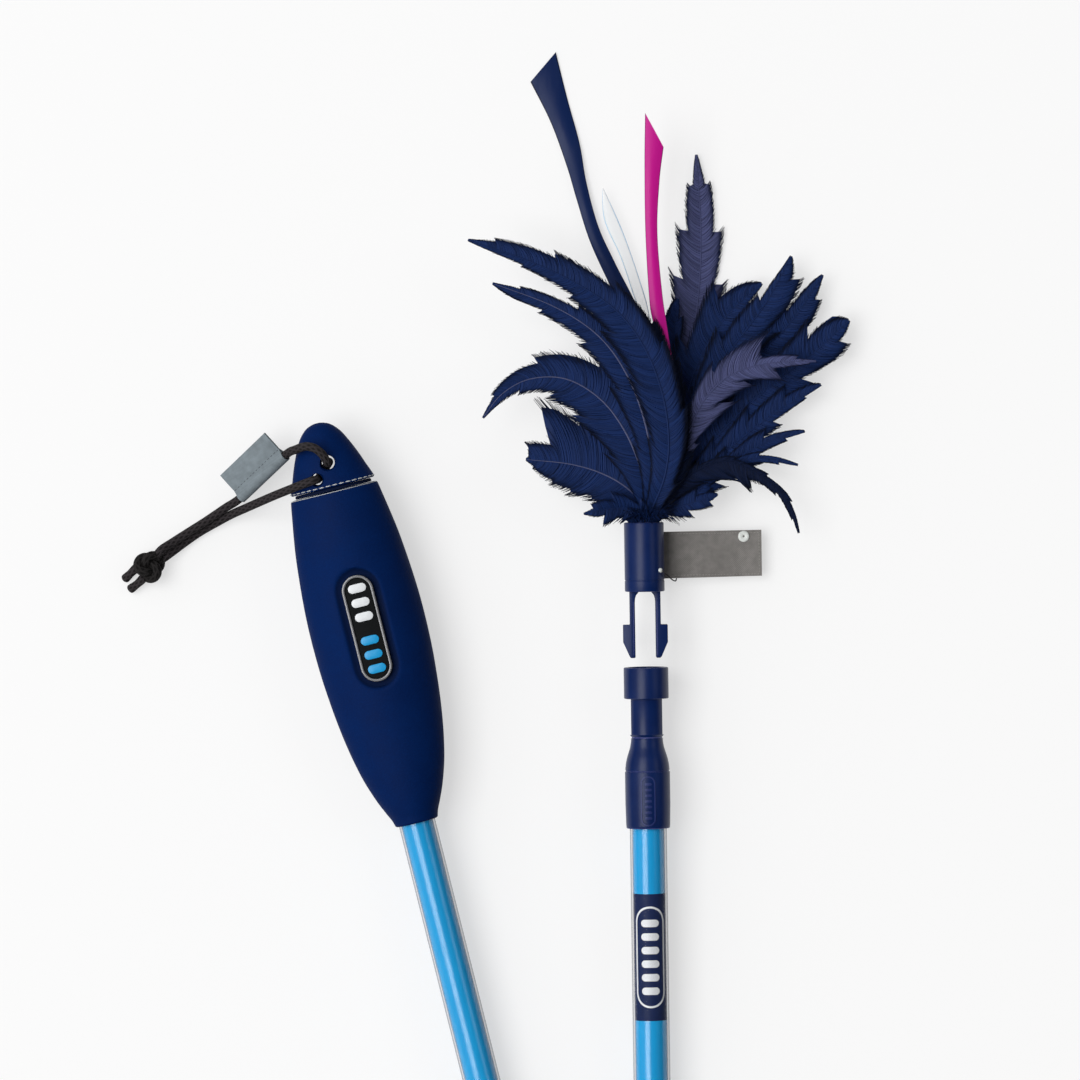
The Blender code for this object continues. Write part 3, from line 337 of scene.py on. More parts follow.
cord_look = braid_look("braided_cord", srgb(50, 46, 48))
below = hole_point(CORD_HOLE, -10.6), hole_point(EYELET, -10.2)
under = below[0].lerp(below[1], 0.5) - Vector((0.0, 0.0, 0.5 * MM))
cord_routes = {
    "cord_lower_strand": ("cord_loop", CORD_HOLE, 0.18, (-8.3, 0.0, 8.0, 10.4), [
        (313.5, 481.2, 26.2), (305.0, 484.2, 25.0), (293.0, 488.8, 22.4), (275.5, 495.5, 17.6),
        (260.0, 501.8, 12.2), (244.9, 508.1, 7.6), (230.0, 514.5, 4.2), (213.1, 523.4, 2.2), (198.0, 532.0, 1.7),
        (182.7, 542.6, 1.8), (164.5, 556.5, 4.0), (156.0, 562.0, 5.0)]),
    "cord_upper_strand": (None, EYELET, 0.82, (-7.9, 0.0, 7.4, 9.9), [
        (324.0, 455.5, 26.1), (316.8, 449.2, 26.3), (307.0, 447.0, 25.0), (296.5, 450.0, 21.6),
        (286.5, 454.8, 17.6), (262.5, 476.9, 12.2), (239.0, 498.3, 7.0), (224.0, 508.0, 5.2), (205.5, 520.5, 4.4),
        (187.2, 532.1, 4.4), (171.0, 542.5, 5.2), (160.5, 549.5, 6.6), (155.0, 556.0, 6.4)]),
}
cord_lines, strands = {}, {}
for name, (cad_node, hole, share, heights, spots) in cord_routes.items():
    route = [under, below[0].lerp(below[1], share)] + [hole_point(hole, h) for h in heights]
    cord_lines[name] = curve_through(route + [plan(*p) for p in spots], 150)
    strands[name] = fitted(tube_mesh(name, cord_lines[name], CORD_R * MM, 20, cord_look),
                           "handle_section", cad_node)


# Knot and cord ends.
# Both strands are tied together in one tight overhand knot of three lobes, and two short ends stick
# out of it, their cut faces sealed by heat.
KNOT_CENTRE, KNOT_R, KNOT_ROLL, KNOT_TURN = plan(148.3, 566.3, 5.6), 2.62, 1.28, 0.72
knot_line = []
for t in angles(180):
    ring = KNOT_R + KNOT_ROLL * math.cos(3.0 * t)
    x, y, z = ring * math.cos(2.0 * t + KNOT_TURN), ring * math.sin(2.0 * t + KNOT_TURN), 2.0 * math.sin(3.0 * t)
    knot_line.append(KNOT_CENTRE + Vector((x * MM, y * 1.04 * MM, z * MM)))
knot_look = braid_look("braided_knot", srgb(34, 32, 32), depth=0.2)
knot = fitted(tube_mesh("tied_knot", knot_line, 1.5 * MM, 18, knot_look, closed=True),
              "handle_section", "cord_knot")

tail_routes = {
    "cord_tail_a": [(137.0, 566.0, 5.0), (131.0, 571.5, 4.0), (126.2, 576.0, 2.6), (121.3, 580.4, 1.75)],
    "cord_tail_b": [(143.0, 576.5, 4.8), (138.5, 581.5, 3.8), (132.5, 586.3, 2.4), (126.4, 590.7, 1.75)],
}
for name, route in tail_routes.items():
    tail = tube_mesh(name + "_braid", curve_through([plan(*p) for p in route], 40),
                     lambda t: CORD_R * MM * (1.0 + 0.06 * math.sin(9.0 * t)), 20, cord_look, blunt=0.9 * MM)
    fitted(tail, "handle_section", name)


# Cord label.
# A grey woven strip folded once round the upper strand and sewn shut beside it, so both leaves lie on
# each other; its free corners lift a little.
LABEL_REACH, LABEL_INNER, LABEL_OUTER, LABEL_SEAM = 9.9, CORD_R + 0.12, CORD_R + 0.5, 2.9
label_start, label_end = np.array(plan(285.6, 455.6, 17.4)), np.array(plan(240.0, 497.4, 7.22))
label_along = (label_end - label_start) / np.linalg.norm(label_end - label_start)
label_side = np.cross((0.0, 0.0, 1.0), label_along)
label_side /= np.linalg.norm(label_side) * (1.0 if label_side[1] > 0 else -1.0)
label_up = np.cross(label_side, label_along)
label_up *= 1.0 if label_up[2] > 0 else -1.0


def leaf(start, end, height):
    return [(s, height) for s in np.linspace(start, end, 9)]


def fold(radius, gap):
    return [(radius * math.cos(a), radius * math.sin(a)) for a in np.linspace(gap, 2 * math.pi - gap, 25)]


def label_point(t, s, h):
    """A point of the strip: share t along the cord, s mm out from it and h mm up; the strip droops outwards."""
    out = max(0.0, s - LABEL_OUTER)
    droop = -0.035 * out ** 2 * (0.4 + 0.6 * t) + 0.10 * out / 8.0 * math.sin(7.0 * t + 0.4)
    base = label_start + (label_end - label_start) * t
    return base + (label_side * s + label_up * h) * MM + np.array((0.0, 0.0, droop * MM))


label_outline = leaf(LABEL_REACH, LABEL_OUTER + 1.2, 0.42) + fold(LABEL_OUTER, 0.60)
label_outline += leaf(LABEL_OUTER + 1.2, LABEL_REACH, -0.42) + leaf(LABEL_REACH, LABEL_OUTER + 0.8, -0.04)
label_outline += fold(LABEL_INNER, 0.22)[::-1] + leaf(LABEL_OUTER + 0.8, LABEL_REACH, 0.04)
label_rings = [[label_point(t, s, h * (0.72 if abs(s - LABEL_SEAM + 0.2) < 0.7 else 1.0)) for s, h in label_outline]
               for t in np.linspace(0.0, 1.0, 41)]


def woven_look(name, colour, thread, matrix):
    """Plain weave: warp and weft threads cross over and under, with slubs and a slightly dusty face."""
    look = Look(name, colour, 0.85, Specular_IOR_Level=0.25)
    local = look.place(Rotation=Vector(matrix.to_3x3().inverted().to_euler()))
    parts = look.add("ShaderNodeSeparateXYZ", Vector=local).node.outputs
    warp, weft = [look.maths("SINE", look.maths("MULTIPLY", parts[i], 2.0 * math.pi / (2.0 * thread * MM)))
                  for i in (0, 1)]
    over = look.maths("MULTIPLY", warp, weft)
    slub, cloud = look.noise(420.0, 3.0, Vector=local), look.noise(90.0, 2.0, Vector=local)
    level = look.maths("MULTIPLY", look.ramp(over, -1.0, 1.0, 0.82, 1.12),
                       look.ramp(slub, 0.3, 0.7, 0.88, 1.12, "LINEAR"))
    level = look.maths("MULTIPLY", level, look.ramp(cloud, 0.3, 0.7, 0.94, 1.06, "LINEAR"))
    look.bump(look.maths("ADD", over, look.maths("ABSOLUTE", warp)), 0.5, 0.05)
    return look.feed(Base_Color=look.shaded(colour, level))


label_turn = Matrix((label_along, label_side, label_up)).transposed().to_4x4()
label_look = woven_look("woven_label", srgb(124, 134, 140), 0.3, label_turn)
label = fitted(shape("folded_label", skin(label_rings), label_look, sharp=50.0),
               "handle_section", "cord_label")


def new_group(name, values):
    """A Geometry Nodes group with a named input for each value; returns it with what its inputs give."""
    group = Nodes(bpy.data.node_groups.new(name, "GeometryNodeTree"))
    sockets = group.tree.interface
    sockets.new_socket("Geometry", in_out="INPUT", socket_type="NodeSocketGeometry")
    for key, value in values.items():
        kind = "NodeSocketFloat" if isinstance(value, float) else "NodeSocketMaterial"
        sockets.new_socket(key, in_out="INPUT", socket_type=kind).default_value = value
    sockets.new_socket("Geometry", in_out="OUTPUT", socket_type="NodeSocketGeometry")
    return group, group.add("NodeGroupInput").node.outputs


def end_group(group, geometry, mat):
    """Closes a group: real geometry with smooth shading and its material."""
    real = group.add("GeometryNodeRealizeInstances", Geometry=geometry)
    smooth = group.add("GeometryNodeSetShadeSmooth", Geometry=real)
    done = group.add("GeometryNodeSetMaterial", Geometry=smooth, Material=mat)
    group.put(group.tree.nodes.new("NodeGroupOutput").inputs[0], done)
    return group.tree


def evaluated_mesh(obj):
    return bpy.data.meshes.new_from_object(obj.evaluated_get(bpy.context.evaluated_depsgraph_get()))


def grown(name, base, tree, values, mat):
    """The plain mesh that a Geometry Nodes tree makes of a curve or mesh object, which is then removed."""
    modifier = base.modifiers.new("grow", "NODES")
    modifier.node_group = tree
    for item in tree.interface.items_tree:
        if item.item_type == "SOCKET" and item.in_out == "INPUT" and item.name in values:
            modifier[item.identifier] = values[item.name]
    mesh = evaluated_mesh(base)
    mesh.name = name
    mesh.materials.clear()
    mesh.materials.append(mat)
    mesh.polygons.foreach_set("material_index", [0] * len(mesh.polygons))
    bpy.data.objects.remove(base, do_unlink=True)
    return new_object(name, mesh)


def stitched(name, line, mat, pitch, length, thick, closed=False):
    """A row of rounded stitches: Geometry Nodes lay one along the line at every pitch."""
    values = {"Pitch": pitch * MM, "Stitch length": length * MM, "Thread": thick * MM}
    group, given = new_group("row_of_" + name, values)
    spots = group.add("GeometryNodeCurveToPoints", "Points", {"mode": "LENGTH"}, Curve=given["Geometry"],
                      Length=given["Pitch"])
    ball = group.add("GeometryNodeMeshUVSphere", "Mesh", Segments=8, Rings=6, Radius=0.5)
    size = group.add("ShaderNodeCombineXYZ", X=given["Stitch length"], Y=given["Thread"], Z=given["Thread"])
    one = group.add("GeometryNodeTransform", Geometry=ball, Scale=size)
    turn = group.add("FunctionNodeAlignRotationToVector", 0, {"axis": "X"}, Vector=spots.node.outputs["Tangent"])
    laid = group.add("GeometryNodeInstanceOnPoints", Points=spots, Instance=one, Rotation=turn)
    curve = bpy.data.curves.new(name + "_line", "CURVE")
    curve.dimensions = "3D"
    spline = curve.splines.new("POLY")
    spline.points.add(len(line) - 1)
    for spot, p in zip(spline.points, line):
        spot.co = (*p, 1.0)
    spline.use_cyclic_u = closed
    return grown(name, new_object(name + "_line", curve), end_group(group, laid, mat), values, mat)


label_thread = Look("label_thread", srgb(78, 84, 90), 0.7, Specular_IOR_Level=0.2).mat
label_row = [label_point(t, LABEL_SEAM, 0.36) for t in np.linspace(0.03, 0.97, 60)]
label_seam = fitted(stitched("label_seam", label_row, label_thread, 1.5, 1.15, 0.26), "handle_section")


# Handle grip.
# A moulded foam grip, oval and swelling towards its middle, round where it meets the tube. A shallow
# pocket with soft edges is pressed into its face for the badge; the foam is painted darker in it as shade.
GRIP_PROFILE = [
    (0.0, 6.7), (0.25, 7.05), (2.5, 7.75), (5.0, 8.95), (10.0, 11.1), (17.0, 13.45), (24.0, 15.1),
    (31.0, 16.35), (38.0, 17.3), (45.0, 18.0), (53.0, 18.6), (62.0, 18.9), (71.0, 18.85), (79.0, 18.45),
    (86.0, 17.9), (93.0, 17.2), (99.0, 16.35), (104.5, 15.45), (109.0, 14.7), (110.2, 14.45), (110.6, 14.0),
]
FLATNESS, FIT_R, MOUTH_R, GRIP_SIDES = 0.72, 6.3, 6.7, 160
BADGE_CENTRE, BADGE_STRAIGHT, POCKET_R, POCKET_FLOOR = 65.3, 24.9, 7.2, 11.7


def oval(v, half, segments=120):
    """A ring of the handle: round at the tube, flattened over the grip."""
    flat = FLATNESS + (1.0 - FLATNESS) * max(0.0, 1.0 - v / 34.0) ** 2 + 0.10 * max(0.0, (v - 112.0) / 21.0)
    return [(half * math.cos(a), v, half * flat * math.sin(a)) for a in angles(segments)]


def ease(x):
    x = min(1.0, max(0.0, x))
    return x * x * (3.0 - 2.0 * x)


def badge_distance(u, v):
    """How far a point of the face lies from the badge's middle line."""
    return math.hypot(u, max(0.0, abs(v - BADGE_CENTRE) - 0.5 * BADGE_STRAIGHT))


def painted(mesh, **values):
    """Gives the points of a mesh named values, one for each point or one for all."""
    for key, value in values.items():
        value = value if isinstance(value, list) else [value] * len(mesh.vertices)
        mesh.attributes.new(key, "FLOAT", "POINT").data.foreach_set("value", value)


def foam_look(name, colour, deep):
    """Closed-cell foam: fine pores and a slow mottle, matt with a faint skin, with painted shade in the badge pocket.
    """
    look = Look(name, colour, 0.65, Specular_IOR_Level=0.06)
    spot = look.place()
    cells = look.add("ShaderNodeTexVoronoi", "Distance", {"feature": "F1"}, Vector=spot, Scale=1500.0)
    cloud, speck = look.noise(70.0, 5.0, 0.6, Vector=spot), look.noise(2600.0, 2.0, Vector=spot)
    mix = look.maths("ADD", look.ramp(cloud, 0.25, 0.75, 0.0, 0.55), look.ramp(speck, 0.4, 0.75, 0.0, 0.45))
    look.bump(look.maths("ADD", cells, look.maths("MULTIPLY", speck, 0.6)), 0.35, 0.09)
    # Painted shade: the foam is blended towards near-black navy where the grip sinks into the badge pocket.
    hollow = look.ramp(look.attribute("hollow"), 0.0, 1.0, 0.0, 0.8)
    return look.feed(Base_Color=look.blend(hollow, look.blend(mix, deep, colour), srgb(2, 16, 46)),
                     Roughness=look.ramp(cloud, 0.2, 0.8, 0.58, 0.74))


grip_rings = [[(x * r / MOUTH_R, v, z * r / MOUTH_R) for x, _, z in oval(0.0, MOUTH_R, GRIP_SIDES)]
              for r, v in ((FIT_R, 24.0), (FIT_R, 0.3), (6.45, 0.0))]
pocket_shade = [0.0] * (len(grip_rings) * GRIP_SIDES)
smooth_profile = curve_through(GRIP_PROFILE[:2], 3).tolist() + curve_through(GRIP_PROFILE[1:19], 150).tolist()[1:]
smooth_profile += curve_through(GRIP_PROFILE[18:], 8).tolist()[1:] + [(110.75, 13.2), (110.78, 12.0)]
for v, half in smooth_profile:
    ring = []
    for x, y, z in oval(v, half, GRIP_SIDES):
        sink = ease(POCKET_R + 0.55 - badge_distance(x, y)) if z > 0 else 0.0
        ring.append((x, y, z + (min(z, POCKET_FLOOR + 0.05) - z) * sink))
        pocket_shade.append(sink)
    grip_rings.append(ring)
foam = foam_look("navy_foam", srgb(0, 35, 90), srgb(0, 27, 76))
grip = fitted(shape("grip_foam", skin([placed(HANDLE, ring) for ring in grip_rings]), foam, sharp=50.0),
              "handle_section", "handle_grip")
# How deep each point sits in the badge pocket, which the foam material turns into painted shade.
painted(grip.data, hollow=pocket_shade)


# Handle cap.
# The rounded end of the handle, of the same foam. The cord runs through an eyelet hole near its tip and a
# smaller hole near the seam, both with rounded rims, and a stitched groove runs round its lower lip.
CAP_PROFILE = [
    (112.1, 12.0), (112.12, 13.3), (112.2, 13.62), (112.4, 13.8), (112.65, 13.86), (113.0, 13.8), (113.6, 13.6),
    (115.2, 13.0), (117.2, 12.2), (120.0, 11.2), (123.4, 9.8), (126.4, 8.4), (129.0, 7.0), (131.0, 5.4),
    (132.4, 3.7), (133.1, 2.0),
]
DRILL_REACH = 16.0


def handle_rings(profile):
    return [placed(HANDLE, oval(v, r)) for v, r in profile]


def cut_away(obj, tools):
    """Cuts closed tool shapes out of a piece and removes them."""
    for tool in tools:
        modifier = obj.modifiers.new("cut", "BOOLEAN")
        modifier.operation, modifier.solver, modifier.object = "DIFFERENCE", "EXACT", tool
    mesh = evaluated_mesh(obj)
    obj.modifiers.clear()
    obj.data = mesh
    for tool in tools:
        bpy.data.objects.remove(tool, do_unlink=True)


cap_curve = curve_through(CAP_PROFILE[6:], 46).tolist()[1:] + [(133.3, 1.1), (133.36, 0.4)]
cap = shape("cap_foam", skin(handle_rings(CAP_PROFILE[:7] + cap_curve)), foam, sharp=50.0)
drills = []
for u, v, r in (EYELET, CORD_HOLE):
    top = (FLATNESS + 0.03) * np.interp(v, *np.array(CAP_PROFILE[6:]).T) * math.sqrt(1.0 - (u / 11.5) ** 2)
    heights = [(DRILL_REACH, r + 0.55), (top + 0.15, r + 0.55), (top - 0.2, r + 0.2), (top - 0.6, r)]
    heights += [(-h, w) for h, w in reversed(heights)]
    drills.append(shape("drill", skin([placed(HANDLE, [(u + w * math.cos(a), v + w * math.sin(a), h)
                                                       for a in angles(48)]) for h, w in heights])))
cut_away(cap, drills)
shade_smooth(cap.data, 40.0)
fitted(cap, "handle_section", "handle_cap")


# Seam ring and stitching.
# Between grip and cap a dark rubber ring fills a groove; a row of pale stitches runs round the cap's lip
# and one fine continuous thread round the grip's lip.
SEAM_PROFILE = [(110.9, 11.5), (110.9, 12.4), (111.15, 12.7), (111.75, 12.6), (112.0, 12.3), (112.0, 11.4)]


def mottled(name, colour, low, high, scale, detail, roughness, gloss=None, **sockets):
    """A material that wavers between two screen colours, and in roughness too where gloss is given."""
    look = Look(name, srgb(*colour), roughness, **sockets)
    grain = look.noise(scale, detail)
    if gloss:
        look.feed(Roughness=look.ramp(grain, 0.3, 0.7, *gloss))
    return look.feed(Base_Color=look.blend(grain, srgb(*low), srgb(*high)))


rubber = mottled("seam_rubber", (7, 18, 46), (5, 14, 38), (11, 26, 60), 1800.0, 3.0, 0.8, Specular_IOR_Level=0.1)
fitted(shape("seam_rubber_ring", skin(handle_rings(SEAM_PROFILE)), rubber), "handle_section", "seam_ring")

thread = mottled("sewing_thread", (196, 200, 200), (150, 156, 160), (222, 224, 222), 2500.0, 2.0, 0.6, Sheen_Weight=0.3)
lip_line, groove_line = placed(HANDLE, oval(112.72, 13.84, 240)), placed(HANDLE, oval(110.5, 14.2, 160))
fitted(stitched("lip_stitches", lip_line, thread, 2.24, 1.9, 0.42, True), "handle_section",
       "seam_stitching")
fitted(tube_mesh("lip_thread", groove_line, 0.12 * MM, 6, thread, closed=True), "handle_section")


# Badge.
# A satin grey rim round a black plate, both glued into the grip's pocket. Raised moulded bars, three pale
# and three blue, run down the plate. Heights are over the foot of the rim.
BADGE_FOOT = POCKET_FLOOR + 0.3
RIM_PROFILE = [(5.1, 0.0), (5.1, 1.4), (5.0, 1.58), (4.8, 1.65), (4.5, 1.65), (4.3, 1.58), (4.2, 1.4), (4.2, 0.0)]
PLATE_PROFILE = [(4.1, 0.0), (4.1, 1.1), (3.95, 1.3), (2.0, 1.34), (0.3, 1.35)]
BAR_LEVELS = [(1.0, 1.25), (1.0, 1.52), (0.9, 1.62), (0.2, 1.64)]


def stadium(centre, straight, radius, steps=24):
    """Outline of a slot along +V with round ends."""
    top = [(radius * math.cos(a), centre + 0.5 * straight + radius * math.sin(a))
           for a in np.linspace(0.0, math.pi, steps)]
    return top + [(-u, 2.0 * centre - v) for u, v in top]


def badge_rings(profile):
    return [placed(HANDLE, [(u, v, BADGE_FOOT + h) for u, v in stadium(BADGE_CENTRE, BADGE_STRAIGHT, r)])
            for r, h in profile]


def merged(solids):
    """One list of points and one of faces from those of several bodies."""
    points, faces = [], []
    for some_points, some_faces in solids:
        faces += [tuple(i + len(points) for i in face) for face in some_faces]
        points += some_points
    return points, faces


satin = mottled("satin_rim", (132, 132, 134), (120, 120, 122), (146, 146, 148), 1400.0, 4.0, 0.4, (0.34, 0.5),
                Metallic=0.6)
fitted(shape("badge_rim_metal", skin(badge_rings(RIM_PROFILE), True), satin), "handle_section", "badge_rim")
black = Look("badge_black", srgb(10, 13, 15), 0.5, Specular_IOR_Level=0.1)
black_grain = black.noise(900.0, 4.0)
black.bump(black_grain, 0.12, 0.03)
fitted(shape("badge_plate_black", skin(badge_rings(PLATE_PROFILE)),
             black.feed(Roughness=black.ramp(black_grain, 0.3, 0.7, 0.42, 0.58))),
       "handle_section", "badge_plate")

ink_white = mottled("pale_ink", (236, 238, 240), (222, 226, 230), (244, 246, 248), 1200.0, 3.0, 0.4)
ink_blue = mottled("blue_ink", (12, 158, 220), (4, 148, 212), (22, 168, 228), 1200.0, 3.0, 0.4)
for name, mat, places in (("badge_bars_pale", ink_white, (78.6, 73.9, 69.2)),
                          ("badge_bars_blue", ink_blue, (61.4, 56.7, 52.0))):
    bars = [skin([placed(HANDLE, [(x * k, v + y * k, BADGE_FOOT + h) for y, x in stadium(0.0, 3.1, 1.4, 12)])
                  for k, h in BAR_LEVELS]) for v in places]
    fitted(shape(name, merged(bars), mat), "handle_section")


# Tubes.
# Each section's shaft is a clear plastic tube of 12 mm with a bright blue core drawn through it. The ends
# are cut square and flame-polished. On the tip section a navy band is printed round the core.
TUBE_R, TUBE_BORE_R, ROD_R = 6.0, 5.3, 5.18
BAND_LOW, BAND_HIGH, BAND_R = -62.3, -21.1, 5.2
SECTIONS = {"handle": (HANDLE, -241.6, 61.4), "tip": (TIP, -229.8, 17.9)}


def lathe(profile, matrix, segments=96, loop=False):
    """A turned body from (radius, height) pairs round a section's centre line."""
    return skin([placed(matrix, [(r * math.cos(a), v, r * math.sin(a)) for a in angles(segments)])
                 for r, v in profile], loop)


def steps(radius, height, *offsets):
    """Profile points, each given by how far it lies from one radius and one height."""
    return [(radius + out, height + up) for out, up in offsets]


clear = Look("clear_plastic", srgb(132, 134, 144), 0.08, IOR=1.4)
facing = clear.add("ShaderNodeLayerWeight", "Facing", Blend=0.5)
clear.feed(Alpha=clear.ramp(facing, 0.42, 1.0, 0.02, 0.85),
           Roughness=clear.ramp(clear.noise(60.0, 2.0), 0.3, 0.7, 0.05, 0.12))
blue = Look("blue_core", srgb(0, 162, 228), 0.2, Specular_IOR_Level=0.75)
streak = blue.noise(40.0, 3.0, Vector=blue.place(Scale=(14.0, 0.6, 14.0)))
blue.feed(Base_Color=blue.blend(streak, srgb(0, 156, 220), srgb(0, 171, 235)))

for name, (matrix, low, high) in SECTIONS.items():
    wall = steps(TUBE_R, low, (-0.12, 0.0), (0.0, 0.12)) + steps(TUBE_R, high, (0.0, -0.12), (-0.12, 0.0))
    wall += steps(TUBE_BORE_R, high, (0.12, 0.0), (0.0, -0.12)) + steps(TUBE_BORE_R, low, (0.0, 0.12), (0.12, 0.0))
    fitted(shape(name + "_clear_tube", lathe(wall, matrix, loop=True), clear.mat),
           name + "_section", name + "_tube")
    low, high = low + 0.3, high - 0.3
    band_seat = [(ROD_R, BAND_LOW), (BAND_R - 0.2, BAND_LOW), (BAND_R - 0.2, BAND_HIGH), (ROD_R, BAND_HIGH)]
    rod = [(0.3, low), (ROD_R - 0.3, low), (ROD_R, low + 0.3)] + (band_seat if name == "tip" else [])
    rod += [(ROD_R, high - 0.3), (ROD_R - 0.3, high), (0.3, high)]
    fitted(shape(name + "_blue_core", lathe(rod, matrix), blue.mat), name + "_section", name + "_core")

band_navy = mottled("band_navy", (16, 32, 78), (8, 27, 70), (14, 36, 84), 700.0, 4.0, 0.5, Specular_IOR_Level=0.12)
band = steps(BAND_R, BAND_LOW, (-0.18, 0.02), (0.0, 0.02)) + steps(BAND_R, BAND_HIGH, (0.0, -0.02), (-0.18, -0.02))
fitted(shape("printed_band", lathe(band, TIP, loop=True), band_navy), "tip_section", "tube_band")


def wrapped(radius, points):
    """Points (across, along, proud) laid on a round face of the tip section, across measured round it."""
    return placed(TIP, [((radius + h) * math.sin(u / radius), v, (radius + h) * math.cos(u / radius))
                        for u, v, h in points])


def bar_outline(straight, radius, count):
    """A short rounded bar lying across the section, with points along its straight sides too."""
    ends = [(y, x) for x, y in stadium(0.0, straight, radius, count)]
    side = np.linspace(0.5 * straight, -0.5 * straight, 9)[1:-1]
    return ends[:count] + [(s, -radius) for s in side] + ends[count:] + [(s, radius) for s in side[::-1]]


def framed_bars(radius, slot, frame_levels, bar, bar_levels, places):
    """Cross bars in a row inside a slot-shaped frame, laid on a round face of the tip section."""
    solids = [skin([wrapped(radius, [(u, v, h) for u, v in stadium(*slot, r)]) for r, h in frame_levels], True)]
    for v in places:
        solids.append(skin([wrapped(radius, [(x * k, v + y * k, h) for x, y in bar_outline(*bar)])
                            for k, h in bar_levels]))
    return merged(solids)


marks = framed_bars(BAND_R, (-41.6, 22.4), ((5.3, 0.01), (5.3, 0.06), (4.65, 0.06), (4.65, 0.01)), (3.6, 1.2, 12),
                    [(1.0, 0.01), (1.0, 0.055)] + [(k, 0.06) for k in (0.8, 0.6, 0.4, 0.2, 0.05)],
                    np.linspace(-52.6, -30.6, 6))
fitted(shape("band_marks", marks, ink_white), "tip_section")


# Joining sleeve.
# A plain navy plastic sleeve at the open end of the handle's tube, with two shallow grip grooves; it slides
# on to bridge the joint when the wand is put together.
SLEEVE_LOW, SLEEVE_R, GROOVE_START, GROOVE_PITCH = -241.1, 7.0, 4.0, 3.2
SLEEVE_HIGH = SLEEVE_LOW + 36.0


def moulded_look(name, colour, pale, roughness=0.34):
    """Moulded plastic: an even skin with a faint ripple and a slow change of gloss."""
    look = Look(name, colour, roughness, Specular_IOR_Level=0.27)
    spot = look.place()
    cloud = look.noise(120.0, 4.0, Vector=spot)
    look.bump(look.noise(1800.0, 3.0, Vector=spot), 0.06, 0.02)
    return look.feed(Base_Color=look.blend(look.ramp(cloud, 0.3, 0.7, 0.0, 0.8), colour, pale),
                     Roughness=look.ramp(cloud, 0.3, 0.7, roughness - 0.02, roughness + 0.03))


navy_plastic = moulded_look("navy_plastic", srgb(3, 29, 80), srgb(6, 35, 90))
# A lighter copy of the navy plastic: painted highlight on thin edges, steps and ridges.
highlight_plastic = moulded_look("navy_plastic_edge", srgb(66, 72, 130), srgb(82, 88, 146), 0.4)
sleeve_wall = steps(SLEEVE_R, SLEEVE_LOW, (-0.3, 0.0), (-0.08, 0.08), (0.0, 0.3))
for i in range(2):
    sleeve_wall += steps(SLEEVE_R, SLEEVE_LOW + GROOVE_START + GROOVE_PITCH * i, (0.0, 0.0), (-0.12, 0.12),
                         (-0.3, 0.4), (-0.3, 0.9), (-0.12, 1.18), (0.0, 1.3))
sleeve_wall += steps(SLEEVE_R, SLEEVE_HIGH, (0.0, -0.3), (-0.08, -0.08), (-0.3, 0.0))
sleeve_wall += steps(FIT_R, SLEEVE_HIGH, (0.15, 0.0), (0.0, -0.2)) + steps(FIT_R, SLEEVE_LOW, (0.0, 0.2), (0.15, 0.0))
fitted(shape("sliding_sleeve", lathe(sleeve_wall, HANDLE, loop=True), navy_plastic),
       "joint_sleeve", "joint_sleeve")


# Socket.
# One moulded piece on top of the tip tube: a body that narrows to a neck, then a collar. The neck has a
# window on each side, where the head's barbs catch. Thin lighter lines on its edges and steps are painted highlights.
SOCKET_TOP, COLLAR_BOTTOM, RIB_FACE_R = 52.2, 42.1, 7.28
COLLAR_R, COLLAR_BORE_R, NECK_R, NECK_BORE_R = 7.25, 5.8, 5.62, 3.9
WINDOW_HALF, WINDOW_BOTTOM, SEGMENTS = 2.5, 30.3, 128
SHOULDER = [(18.95, 7.2), (21.0, 6.98), (23.0, 6.55), (24.9, 5.95), (26.4, 5.5), (27.9, 5.24), (29.15, 5.15)]


def prism(name, corners, low, high, *materials, upright=False):
    """A straight body from corners (u, v) through w, or if upright from corners (u, w) through v."""
    return shape(name, skin([placed(TIP, [(a, level, b) if upright else (a, b, level) for a, b in corners])
                             for level in (low, high)]), *materials)


def rectangle(a, b, c, d):
    return [(a, b), (c, b), (c, d), (a, d)]


outer = [(6.75, 0.0), (6.95, 0.06), (7.05, 0.25), (7.15, 1.2), (7.3, 8.0), (7.3, 18.30), (7.14, 18.42),
         (7.02, 18.5), (7.02, 18.75), (7.12, 18.86)]
outer += [(r, v) for v, r in curve_through(SHOULDER, 22).tolist()]
outer += [(4.95, 29.35), (4.95, 29.65), (5.15, 29.85), (NECK_R, 30.5)]
outer += steps(NECK_R, COLLAR_BOTTOM, (0.0, -0.2), (0.1, 0.0)) + steps(COLLAR_R, COLLAR_BOTTOM, (-0.2, 0.0), (0.0, 0.2))
outer += steps(COLLAR_R, SOCKET_TOP, (0.0, -0.3), (-0.1, -0.08), (-0.3, 0.0))
inner = steps(COLLAR_BORE_R, SOCKET_TOP, (0.2, 0.0), (0.0, -0.25))
inner += [(COLLAR_BORE_R, COLLAR_BOTTOM + 0.5), (NECK_BORE_R, COLLAR_BOTTOM + 0.5), (NECK_BORE_R, 20.2),
          (FIT_R, 18.5), (FIT_R, 0.15), (6.45, 0.0)]
# Rows of the profile whose faces get the lighter plastic as painted highlight lines.
highlight_steps = {1, 6, 8, len(outer) - 11, len(outer) - 6, len(outer) - 2}
solid = lathe(outer + inner, TIP, SEGMENTS, loop=True)
socket = shape("socket_moulding", solid, navy_plastic, highlight_plastic,
               face_slots=[int(i // SEGMENTS in highlight_steps) for i in range(len(solid[1]))])
cut_away(socket, [prism("window_tool", rectangle(-wide, -half, wide, half), low, high, upright=True)
                  for wide, half, low, high in ((6.2, WINDOW_HALF, WINDOW_BOTTOM, COLLAR_BOTTOM + 0.02),
                                                (5.25, WINDOW_HALF - 0.1, COLLAR_BOTTOM - 1.0, COLLAR_BOTTOM + 0.9))])
fitted(socket, "tip_section", "socket_housing")

